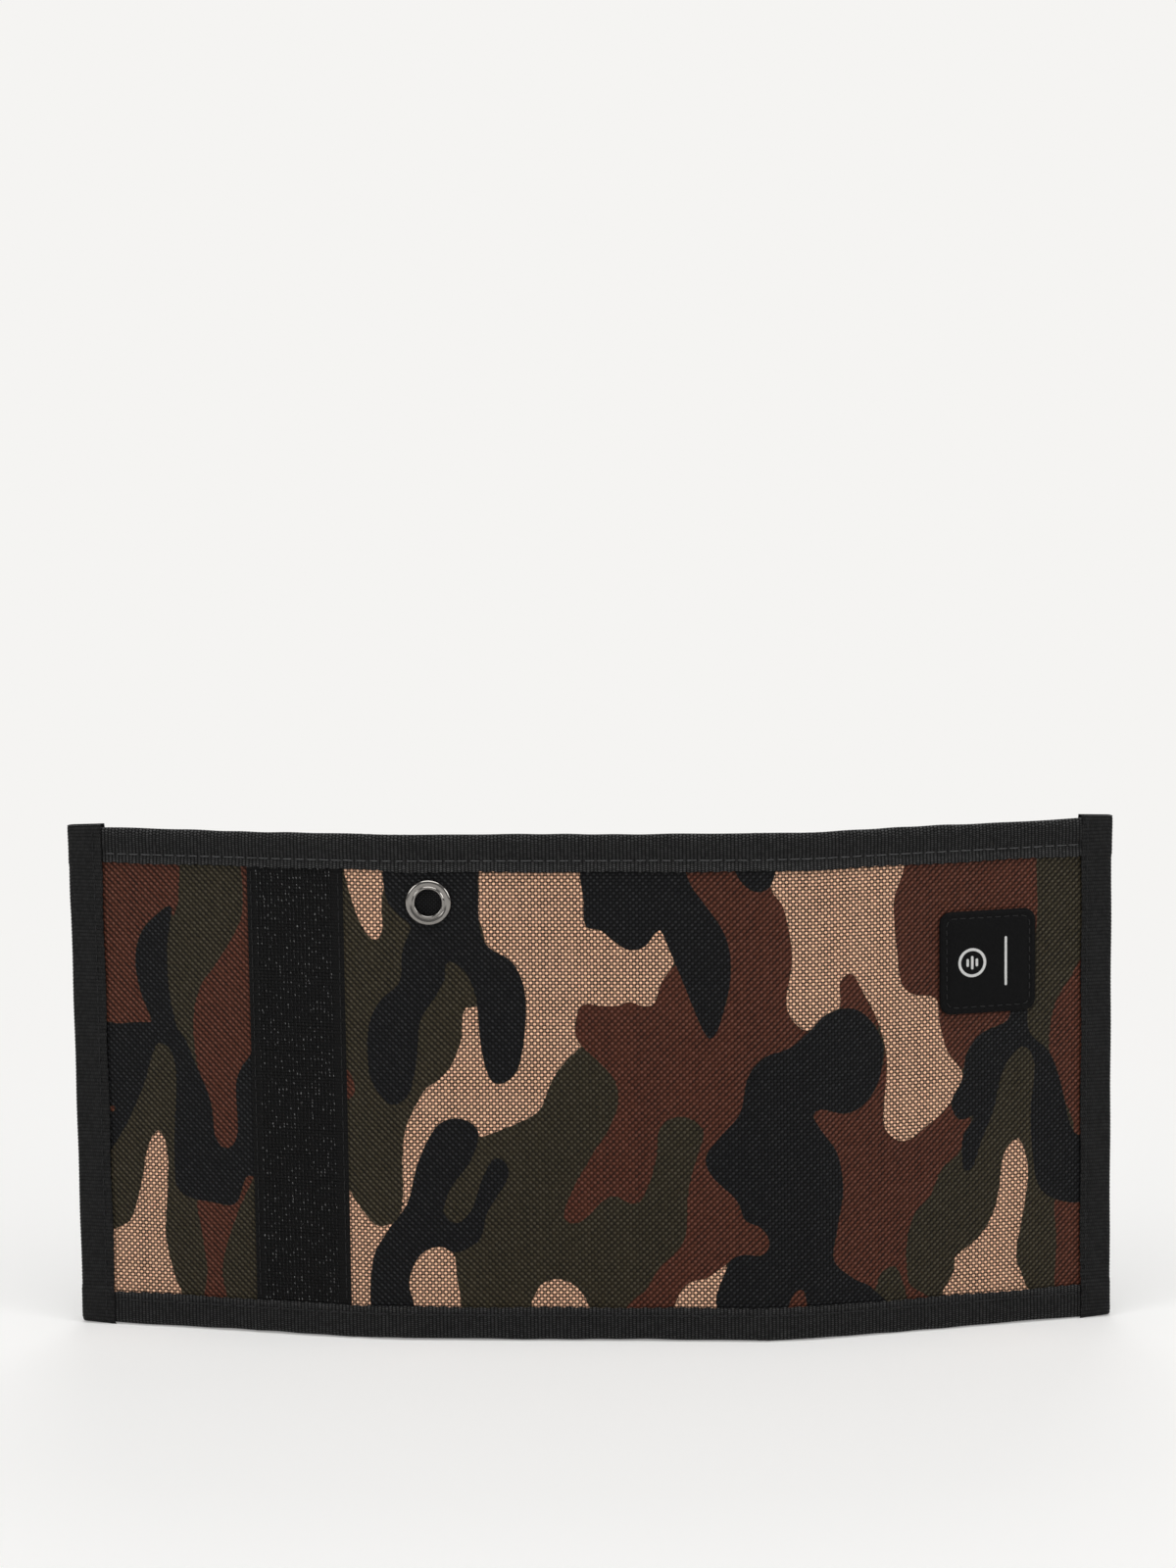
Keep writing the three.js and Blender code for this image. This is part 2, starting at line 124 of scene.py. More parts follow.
ZIP_LINE = Flat("zip_coil_upper")
LEFT_EDGE = Flat("end_binding_left").u0
RIGHT_EDGE = Flat("end_binding_right").u1
CREASES = [LEFT_FLAP_CREASE, LEFT_CREASE, RIGHT_CREASE, RIGHT_FLAP_CREASE]
CREASE_HALF = 3.0  # the cloth turns over this length on each side of a crease
PATH_STEP = 0.05


def heading_at(u):
    """Direction of the folded shell at u, in radians."""
    bends = zip(CREASES, [LEFT_FOLD, LEFT_FOLD, RIGHT_FOLD, RIGHT_FOLD])
    turned = sum(fold * np.clip((u - at) / (2 * CREASE_HALF) + 0.5, 0, 1) for at, fold in bends)
    return turned - 2 * LEFT_FOLD


PATH_U = np.arange(LEFT_EDGE - 5, RIGHT_EDGE + 5, PATH_STEP)
PATH_HEADING = heading_at(PATH_U)
PATH_X = np.cumsum(np.cos(PATH_HEADING)) * PATH_STEP
PATH_Y = np.cumsum(np.sin(PATH_HEADING)) * PATH_STEP
PATH_X -= np.interp(0, PATH_U, PATH_X)
PATH_Y -= np.interp(0, PATH_U, PATH_Y)


def sway(u, z):
    """The gentle waviness that all the layers share, in millimetres. There is none along the zip."""
    wave = 0.11 * np.sin(u / 17 + 0.6) * np.sin(z / 31 + 0.4) + 0.05 * np.sin(u / 9.5 + z / 23)
    return wave * (1 - window(u, ZIP_LINE.u0, ZIP_LINE.u1, 12) * window(z, ZIP_LINE.z0, ZIP_LINE.z1, 12))


def place(points):
    """Folds points of the flattened wallet into the frame, in metres."""
    u, depth, z = np.moveaxis(np.asarray(points, float), -1, 0)
    heading = np.interp(u, PATH_U, PATH_HEADING)
    depth = depth + sway(u, z)
    x = np.interp(u, PATH_U, PATH_X) - np.sin(heading) * depth
    y = np.interp(u, PATH_U, PATH_Y) + np.cos(heading) * depth
    return np.stack([x, y, z], -1) * MM


class Segment:
    """A stretch of the wallet that is laid bent at one crease, with the bodies on either side of it."""

    def __init__(self, name, start, end, crease, bodies, panels):
        self.name, self.start, self.end = name, start, end
        self.crease, self.bodies, self.panels = crease, bodies, panels

    def within(self, inset):
        """Where it starts and ends, kept an inset away from the wallet's free edges."""
        return max(self.start, LEFT_EDGE + inset), min(self.end, RIGHT_EDGE - inset)


LEFT_SPINE_MIDDLE = (LEFT_FLAP_CREASE + LEFT_CREASE) / 2
RIGHT_SPINE_MIDDLE = (RIGHT_CREASE + RIGHT_FLAP_CREASE) / 2
SEGMENTS = [
    Segment("left_outer", LEFT_EDGE, LEFT_SPINE_MIDDLE, LEFT_FLAP_CREASE,
            ("left_flap", "left_spine"), ["left_flap"]),
    Segment("left_inner", LEFT_SPINE_MIDDLE, 0, LEFT_CREASE,
            ("left_spine", "center_panel"), ["left_spine", "center"]),
    Segment("right_inner", 0, RIGHT_SPINE_MIDDLE, RIGHT_CREASE,
            ("center_panel", "right_spine"), ["right_spine"]),
    Segment("right_outer", RIGHT_SPINE_MIDDLE, RIGHT_EDGE, RIGHT_FLAP_CREASE,
            ("right_spine", "right_flap"), ["right_flap"]),
]


def smooth(x, low, high):
    t = np.clip((x - low) / (high - low), 0, 1)
    return t * t * (3 - 2 * t)


def window(x, low, high, soft):
    """1 between low and high, falling to 0 over a soft edge outside them."""
    return smooth(x, low - soft, low) * (1 - smooth(x, high, high + soft))


def steps(low, high, step, through=0.0):
    """Values a step apart that pass through a given one, with both ends kept."""
    first = math.ceil((low + 0.3 * step - through) / step)
    last = math.floor((high - 0.3 * step - through) / step)
    return np.concatenate([[low], through + step * np.arange(first, last + 1), [high]])


# ---- Meshes ---------------------------------------------------------------------------------------
def grid_quads(index):
    return np.stack([index[:-1, :-1], index[1:, :-1], index[1:, 1:], index[:-1, 1:]], -1).reshape(-1, 4)


def wrapped(index, axis):
    return np.concatenate([index, np.take(index, [0], axis)], axis)


def loop_quads(columns, count, ring=False):
    """Quads of a solid made of closed loops, with flat ends, or with none if the loops form a ring."""
    index = wrapped(np.arange(columns * count).reshape(columns, count), 1)
    if ring:
        return grid_quads(wrapped(index, 0))
    low = np.arange(count // 2 - 1)
    ends = np.stack([low, low + 1, count - 2 - low, count - 1 - low], -1)
    return np.concatenate([grid_quads(index), ends, ends[:, ::-1] + (columns - 1) * count])


def with_hole(faces, count, columns, rows):
    """Cuts a rectangle of cells through a slab's two faces and walls its sides."""
    def front(i, j):
        return i * count + j

    def back(i, j):
        return i * count + count - 1 - j

    (left, right), (low, high) = columns, rows
    cell, level = np.divmod(faces, count)
    level = np.minimum(level, count - 1 - level)
    gone = ((cell >= left) & (cell <= right) & (level >= low) & (level <= high)).all(1)
    walls = []
    for i in range(left, right):
        walls.append([front(i, low), front(i + 1, low), back(i + 1, low), back(i, low)])
        walls.append([front(i + 1, high), front(i, high), back(i, high), back(i + 1, high)])
    for j in range(low, high):
        walls.append([front(left, j + 1), front(left, j), back(left, j), back(left, j + 1)])
        walls.append([front(right, j), front(right, j + 1), back(right, j + 1), back(right, j)])
    return np.concatenate([faces[~gone], walls])


def volume(points, faces):
    """Six times the volume inside quads, negative when they face inwards."""
    a, b, c, d = (points[faces[:, i]] for i in range(4))
    return (np.cross(a, b) * c).sum() + (np.cross(a, c) * d).sum()


def make_mesh(name, points, faces, cloth, extra=None, sharp_angle=50):
    """A mesh from points in metres and quads, with its cloth coordinates in millimetres."""
    if volume(points, faces) < 0:
        faces = faces[:, ::-1]
    mesh = bpy.data.meshes.new(name)
    mesh.vertices.add(len(points))
    mesh.vertices.foreach_set("co", points.astype(np.float32).ravel())
    mesh.loops.add(faces.size)
    mesh.loops.foreach_set("vertex_index", faces.astype(np.int32).ravel())
    mesh.polygons.add(len(faces))
    mesh.polygons.foreach_set("loop_start", np.arange(0, faces.size, 4, dtype=np.int32))
    mesh.update(calc_edges=True)
    mesh.validate()
    for key, values in {"cloth": cloth, **(extra or {})}.items():
        attribute = mesh.attributes.new(key, "FLOAT_VECTOR", "POINT")
        attribute.data.foreach_set("vector", np.asarray(values, np.float32).ravel())
    mesh.shade_smooth()
    mesh.set_sharp_from_angle(angle=math.radians(sharp_angle))
    return mesh


def add_piece(name, mesh, material, carrier, stands_for=()):
    """Shows a mesh as a piece of the wallet. Its carrier is a body's name, to which it is attached, or a
    segment, in which case its transform is baked into the mesh.
    """
    piece = bpy.data.objects.new(name, mesh)
    bpy.context.scene.collection.objects.link(piece)
    mesh.materials.append(material)
    if isinstance(carrier, Segment):
        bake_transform(piece)
    else:
        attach(piece, carrier)
    if stands_for:
        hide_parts(*stands_for)
    return piece


def slab_mesh(name, front, back, cloth, extra=None, hole=None):
    """A closed sheet between two grids of flattened-wallet points, columns first."""
    columns, rows = front.shape[:2]
    both = np.concatenate([front, back[:, ::-1]], 1)
    faces = loop_quads(columns, 2 * rows)
    if hole:
        faces = with_hole(faces, 2 * rows, *hole)

    def both_sides(values):
        return np.concatenate([values, values[:, ::-1]], 1).reshape(-1, 3)

    extra = {key: both_sides(values) for key, values in (extra or {}).items()}
    return make_mesh(name, place(both).reshape(-1, 3), faces, both_sides(cloth), extra)


def merged(name, loops, cloth=None, ring=False, sharp_angle=50):
    """One mesh of many alike solids, from an array of solids, loops and loop points."""
    loops = np.asarray(loops, float)
    count, columns, sides = loops.shape[:3]
    one = loop_quads(columns, sides, ring)
    faces = (one[None] + (np.arange(count) * columns * sides)[:, None, None]).reshape(-1, 4)
    points = loops.reshape(-1, 3)
    coordinates = points if cloth is None else np.asarray(cloth, float).reshape(-1, 3)
    return make_mesh(name, place(points), faces, coordinates, sharp_angle=sharp_angle)


def tube_loops(paths, radius, sides=6, upright=(0, 1, 0)):
    """Loops around each of many paths. The radius may differ from point to point."""
    paths = np.asarray(paths, float)
    tangent = np.gradient(paths, axis=1)
    tangent /= np.linalg.norm(tangent, axis=-1, keepdims=True)
    side = np.cross(tangent, np.broadcast_to(np.asarray(upright, float), tangent.shape))
    side /= np.maximum(np.linalg.norm(side, axis=-1, keepdims=True), 1e-9)
    over = np.cross(side, tangent)
    angle = (np.arange(sides) + 0.5) * 2 * math.pi / sides
    ring = side[..., None, :] * np.cos(angle)[:, None] + over[..., None, :] * np.sin(angle)[:, None]
    return paths[..., None, :] + ring * np.broadcast_to(radius, paths.shape[:2])[..., None, None]


# ---- Materials ------------------------------------------------------------------------------------
def srgb(*levels):
    """A linear colour from 0-255 display levels."""
    parts = [level / 255 for level in levels]
    return (*[p / 12.92 if p <= 0.04045 else ((p + 0.055) / 1.055) ** 2.4 for p in parts], 1.0)


class Nodes:
    """A node tree whose nodes are written as expressions."""

    def __init__(self, tree):
        self.tree = tree

    def feed(self, socket, value):
        if isinstance(value, bpy.types.NodeSocket):
            self.tree.links.new(value, socket)
        else:
            socket.default_value = value

    def node(self, kind, settings=None, **inputs):
        made = self.tree.nodes.new(kind)
        for key, value in (settings or {}).items():
            setattr(made, key, value)
        for key, value in inputs.items():
            self.feed(made.inputs[key.replace("_", " ")], value)
        return made

    def apply(self, kind, values, settings=None):
        """The first output of a node whose inputs take the values in order."""
        made = self.node(kind, settings)
        for socket, value in zip(made.inputs, values):
            self.feed(socket, value)
        return made.outputs[0]

    def math(self, operation, *values):
        return self.apply("ShaderNodeMath", values, {"operation": operation})

    def add(self, a, b):
        return self.math("ADD", a, b)

    def times(self, a, b):
        return self.math("MULTIPLY", a, b)

    def step(self, value, low, high, out_low=0.0, out_high=1.0):
        return self.apply("ShaderNodeMapRange", (value, low, high, out_low, out_high),
                          {"interpolation_type": "SMOOTHSTEP"})


class Shader(Nodes):
    """A material; x, y and z are the cloth coordinates of its piece, in millimetres."""

    def __init__(self, name, **settings):
        self.material = bpy.data.materials.new(name)
        self.material.use_nodes = True
        super().__init__(self.material.node_tree)
        self.surface = self.tree.nodes["Principled BSDF"]
        for key, value in settings.items():
            self.surface.inputs[key.replace("_", " ")].default_value = value
        separate = self.node("ShaderNodeSeparateXYZ", Vector=self.attribute("cloth"))
        self.x, self.y, self.z = separate.outputs

    def attribute(self, name):
        return self.node("ShaderNodeAttribute", {"attribute_name": name}).outputs["Vector"]

    def vector(self, x, y, z=0.0):
        return self.node("ShaderNodeCombineXYZ", X=x, Y=y, Z=z).outputs[0]

    def noise(self, scale, detail=2.0, stretch=(1, 1, 1)):
        """Noise from 0 to 1; the scale is in features per millimetre."""
        at = self.vector(*(self.times(axis, by) for axis, by in zip((self.x, self.y, self.z), stretch)))
        return self.node("ShaderNodeTexNoise", Vector=at, Scale=scale, Detail=detail).outputs["Fac"]

    def random(self, x, y):
        """A random number from 0 to 1 for each whole step of x and y."""
        at = self.vector(self.math("FLOOR", x), self.math("FLOOR", y))
        return self.node("ShaderNodeTexWhiteNoise", {"noise_dimensions": "2D"}, Vector=at).outputs["Value"]

    def varied(self, value, amount):
        """A value from 0 to 1 turned into a swing about 0."""
        return self.times(self.add(value, -0.5), amount)

    def grey(self, level):
        return self.node("ShaderNodeCombineColor", Red=level, Green=level, Blue=level).outputs[0]

    def mix(self, factor, a, b, blend_type="MIX"):
        made = self.node("ShaderNodeMix", {"data_type": "RGBA", "blend_type": blend_type})
        for socket, value in ((0, factor), (6, a), (7, b)):
            self.feed(made.inputs[socket], value)
        return made.outputs[2]

    def bright(self, color, factor):
        """A colour made lighter or darker by a factor."""
        return self.mix(1.0, color, self.grey(factor), "MULTIPLY")

    def lighter(self, color, amount):
        """A colour with an amount of white light added."""
        return self.mix(1.0, color, self.grey(amount), "ADD")

    def bump(self, height, depth_mm):
        return self.node("ShaderNodeBump", Height=height, Distance=depth_mm * MM, Strength=1.0).outputs[0]

    def finish(self, **inputs):
        for key, value in inputs.items():
            self.feed(self.surface.inputs[key.replace("_", " ")], value)
        return self.material


def thread(s, across, along, side, slope, reach):
    """Height of one set of a plain weave's threads: on top where side times the wave is positive, or a
    little further with a reach. The slope says how steeply a thread's flanks fall."""
    middle = s.add(s.math("FRACT", across), -0.5)
    crown = s.math("SUBTRACT", 1.0, s.times(s.times(middle, middle), slope))
    parity = s.math("SIGN", s.math("SINE", s.times(across, math.pi)))
    wave = s.times(s.times(s.math("SINE", s.times(along, math.pi)), parity), side)
    return s.add(s.times(crown, 0.5), s.times(s.add(wave, reach), 0.5))


class Weave:
    """A plain weave: its height, how light its floats are, and a random number for each float. Threads
    that run along x catch more of the light from above than upright ones."""

    def __init__(self, s, pitch, dark, upright, level):
        self.x, self.y = s.times(s.x, 1 / pitch), s.times(s.y, 1 / pitch)
        upright_height = thread(s, self.x, self.y, 1.0, 4.5, 0.0)
        level_height = thread(s, self.y, self.x, -1.0, 5.4, 0.5)
        self.height = s.math("MAXIMUM", upright_height, level_height)
        self.glint = s.step(level_height, 0.75, 1.2)
        self.chance = s.random(self.x, self.y)
        self.shade = s.math("MAXIMUM", s.step(upright_height, 0.4, 1.0, dark, upright),
                            s.step(level_height, 0.5, 1.2, dark, level))

    def painted_glint_rows(self, s, left_end, right_end):
        """Painted highlight along slanting rows of the level floats, from -1 between them to 1 along them,
        standing in for the glints of their sheen. They lean one way at the left end of the cloth and the
        other way at the right end."""
        rising = s.math("COSINE", s.times(s.math("SUBTRACT", self.x, self.y), math.pi))
        falling = s.math("COSINE", s.times(s.add(self.x, self.y), math.pi))
        share = s.step(s.x, left_end, right_end)
        return s.add(s.times(rising, s.times(share, -1.0)), s.times(falling, s.math("SUBTRACT", 1.0, share)))


PRINT_THREAD = 0.8  # pitch of the shell's threads, in millimetres
PRINT = {
    "green": srgb(57, 50, 33),
    "tan": srgb(200, 158, 130),
    "brown": srgb(92, 48, 31),
    "black": srgb(9, 10, 13),
}


def printed_nylon():
    s = Shader("printed_nylon", Specular_IOR_Level=0.2)
    weave = Weave(s, PRINT_THREAD, 0.1, 0.7, 2.35)
    inks = s.node("ShaderNodeSeparateXYZ", Vector=s.attribute("print")).outputs
    wobble = s.varied(weave.chance, 0.22)
    color = PRINT["green"]
    for ink, name in zip(inks, ("tan", "brown", "black")):
        color = s.mix(s.step(s.add(ink, wobble), -0.1, 0.1), color, PRINT[name])
    # Painted highlight in slanting rows: on the dark inks it lightens the level floats and darkens between
    # them.
    rows = weave.painted_glint_rows(s, -70.0, 70.0)
    soft = s.add(s.add(s.times(weave.shade, 0.28), 0.5), s.times(rows, 0.36))
    tan = s.step(inks[0], -0.1, 0.1)
    shade = s.add(soft, s.times(tan, s.math("SUBTRACT", weave.shade, soft)))
    shade = s.add(shade, s.varied(weave.chance, 0.22))
    shade = s.add(shade, s.varied(s.random(weave.x, 0.0), 0.08))
    shade = s.add(shade, s.varied(s.noise(0.05, 3.0), 0.14))
    relief = s.add(weave.height, s.times(s.noise(5.0, 1.0), 0.12))
    # Painted sheen: white light added to every ink on the level floats' tops and along the slanting rows.
    sheen = s.math("MAXIMUM", s.add(s.times(weave.glint, 0.6), s.times(rows, 0.4)), 0.0)
    painted_sheen = s.times(sheen, s.add(s.times(weave.chance, 0.022), 0.008))
    return s.finish(Base_Color=s.lighter(s.bright(color, shade), painted_sheen), Normal=s.bump(relief, 0.2),
                    Roughness=s.step(weave.height, 0.4, 1.1, 0.85, 0.36))


def woven_nylon(name, level, pitch, roughness=0.6):
    s = Shader(name, Specular_IOR_Level=0.15)
    weave = Weave(s, pitch, 0.25, 0.9, 1.6)
    shade = s.add(weave.shade, s.varied(weave.chance, 0.25))
    shade = s.add(shade, s.varied(s.noise(0.06, 3.0), 0.2))
    return s.finish(Base_Color=s.bright(srgb(level, level, level + 1), shade),
                    Normal=s.bump(weave.height, 0.25 * pitch), Roughness=roughness)


RIB_PITCH = 0.91  # from one rib of the binding tape to the next, in millimetres
WARP_PITCH = 0.5  # from one bead of a rib to the next across the binding tape


def grosgrain(name, level, groove, bead_top, rib_pitch=RIB_PITCH):
    """Ribbed tape: x runs along the tape, y across it, and z is how much painted light it gets, most on a
    binding's fold and past its stitching. The groove and the bead's top are how dark and how light the level
    gets: painted shade in the grooves and a painted highlight on the beads."""
    s = Shader(name, Specular_IOR_Level=0.2)
    rib = s.times(s.x, 1 / rib_pitch)
    crown = s.math("ABSOLUTE", s.math("SINE", s.times(rib, math.pi)))
    lane = s.times(s.y, 1 / WARP_PITCH)
    half_turn = s.times(s.math("FLOOR", rib), 0.5)
    bead = s.math("ABSOLUTE", s.math("SINE", s.times(s.add(lane, half_turn), math.pi)))
    height = s.add(s.times(s.math("POWER", crown, 0.7), 0.55), s.times(bead, 0.45))
    chance = s.random(rib, s.add(lane, half_turn))
    # Painted shade in the grooves and painted highlight on the beads' tops.
    lit = s.step(height, 0.5, 1.0, groove, bead_top)
    # Painted light from z, brighter on a binding's fold and past its stitching.
    shade = s.times(s.times(lit, s.add(s.times(chance, 0.7), 0.65)), s.add(s.times(s.z, 0.75), 0.78))
    shade = s.add(shade, s.varied(s.noise(0.12, 4.0, (0.6, 1.5, 1.0)), 0.35))
    relief = s.add(height, s.times(s.noise(3.5, 2.0), 0.25))
    return s.finish(Base_Color=s.bright(srgb(level, level, level), shade),
                    Normal=s.bump(relief, 0.16), Roughness=s.step(height, 0.3, 1.0, 0.8, 0.42))


def twill_tape(name, level):
    """Zip tape, woven in a fine diagonal."""
    s = Shader(name, Specular_IOR_Level=0.15)
    line = s.math("SINE", s.times(s.add(s.x, s.times(s.y, 1.4)), 2 * math.pi / 0.7))
    cross = s.math("SINE", s.times(s.x, 2 * math.pi / 0.35))
    height = s.add(s.step(line, -1.0, 1.0), s.times(cross, 0.2))
    # Painted shade in the twill's furrows, lighter on its raised lines.
    shade = s.add(s.step(height, 0.0, 1.0, 0.6, 1.1), s.varied(s.noise(0.3, 3.0), 0.3))
    return s.finish(Base_Color=s.bright(srgb(level, level, level), shade),
                    Normal=s.bump(height, 0.07), Roughness=0.75)


PLY_PITCH = 0.45  # from one turn of a thread's twist to the next, in millimetres


def fibre(name, level, roughness, twist=0.0):
    """Thread or filament: a light twist along x, with a little variation."""
    s = Shader(name, Specular_IOR_Level=0.4)
    ply = s.math("SINE", s.times(s.add(s.x, s.add(s.y, s.z)), 2 * math.pi / PLY_PITCH))
    # Painted shade between the turns of the twist, as deep as the twist says.
    shade = s.add(s.step(ply, -1.0, 1.0, 1.0 - twist, 1.0), s.varied(s.noise(0.8, 2.0), 0.5))
    return s.finish(Base_Color=s.bright(srgb(level, level, level + 1), shade),
                    Normal=s.bump(ply, 0.05 * twist), Roughness=roughness)


def hook_filament():
    """Dark wire with a painted glint near the top of some hooks; y is a number for each hook and z runs up
    it.
    """
    s = Shader("hook_filament", Specular_IOR_Level=0.35)
    # Painted glint: white light added near the top of the hooks whose number is high.
    painted_tip_glint = s.times(s.step(s.z, 0.45, 0.75), s.step(s.y, 0.72, 1.0))
    color = s.lighter(s.bright(srgb(10, 10, 11), s.add(s.noise(1.5, 2.0), 0.6)), s.times(painted_tip_glint, 0.28))
    return s.finish(Base_Color=color, Roughness=0.3, Normal=s.bump(s.noise(4.0, 2.0), 0.01))


def leather():
    s = Shader("black_leather", Specular_IOR_Level=0.12)
    at = s.vector(s.x, s.y, s.z)
    grain = s.node("ShaderNodeTexVoronoi", {"feature": "SMOOTH_F1"}, Vector=at, Scale=1.7, Randomness=1.0)
    pebble = s.step(grain.outputs["Distance"], 0.1, 0.7, 1.0, 0.0)
    fine = s.noise(4.0, 4.0)
    shade = s.add(s.step(pebble, 0.0, 1.0, 0.75, 1.05), s.varied(s.noise(0.25, 3.0), 0.5))
    rough = s.add(s.times(s.noise(0.5, 3.0), 0.25), 0.38)
    relief = s.add(pebble, s.times(fine, 0.4))
    return s.finish(Base_Color=s.bright(srgb(11, 11, 12), shade), Normal=s.bump(relief, 0.05),
                    Roughness=rough)


def metal(name, color, roughness, wear_and_painted_light):
    s = Shader(name, Metallic=1.0)
    cloud = s.noise(0.5, 4.0)
    scratch = s.noise(1.5, 3.0, (6.0, 0.6, 6.0))
    rough = s.add(s.times(scratch, wear_and_painted_light), s.times(cloud, wear_and_painted_light))
    shade = s.add(0.9, s.varied(cloud, 0.25))
    return s.finish(Base_Color=s.bright(color, shade), Roughness=s.add(rough, roughness - wear_and_painted_light),
                    Normal=s.bump(scratch, 0.004))


def white_ink():
    s = Shader("white_ink", Specular_IOR_Level=0.3)
    patchy = s.noise(1.4, 4.0)
    color = s.bright(srgb(226, 226, 224), s.step(patchy, 0.2, 0.6, 0.86, 1.0))
    return s.finish(Base_Color=color, Roughness=0.6, Normal=s.bump(s.noise(3.0, 3.0), 0.03))


PRINTED = printed_nylon()
LINING = woven_nylon("lining_nylon", 42, 0.5)
POCKET = woven_nylon("pocket_nylon", 50, 0.62)
BINDING = grosgrain("binding_grosgrain", 24, 0.12, 4.6)
# The end bindings get their own copy with less painted contrast, since their ribs run across and catch less
# of the light from above.
END_BINDING = grosgrain("end_binding_grosgrain", 35, 0.62, 1.15)
TRIM = grosgrain("pocket_grosgrain", 64, 0.3, 1.7, 0.8)
HOOK_BASE = grosgrain("hook_tape_base", 12, 0.4, 1.4, 0.8)
HOOK_WIRE = hook_filament()
STRAY_FIBRE = fibre("stray_fibre", 120, 0.5)
LOOP_BASE = woven_nylon("loop_tape_base", 28, 0.6, 0.85)
LOOP_PILE = fibre("loop_pile", 46, 0.6)
ZIP_TAPE = twill_tape("zip_twill", 42)
ZIP_COIL = fibre("zip_filament", 46, 0.38)
THREAD = fibre("sewing_thread", 84, 0.4, 0.35)
DARK_THREAD = fibre("dark_sewing_thread", 28, 0.45, 0.35)
LEATHER = leather()
NICKEL = metal("bright_nickel", (0.4, 0.38, 0.355, 1.0), 0.13, 0.04)
ZIP_METAL = metal("satin_nickel", (0.55, 0.55, 0.55, 1.0), 0.34, 0.08)
WHITE_INK = white_ink()


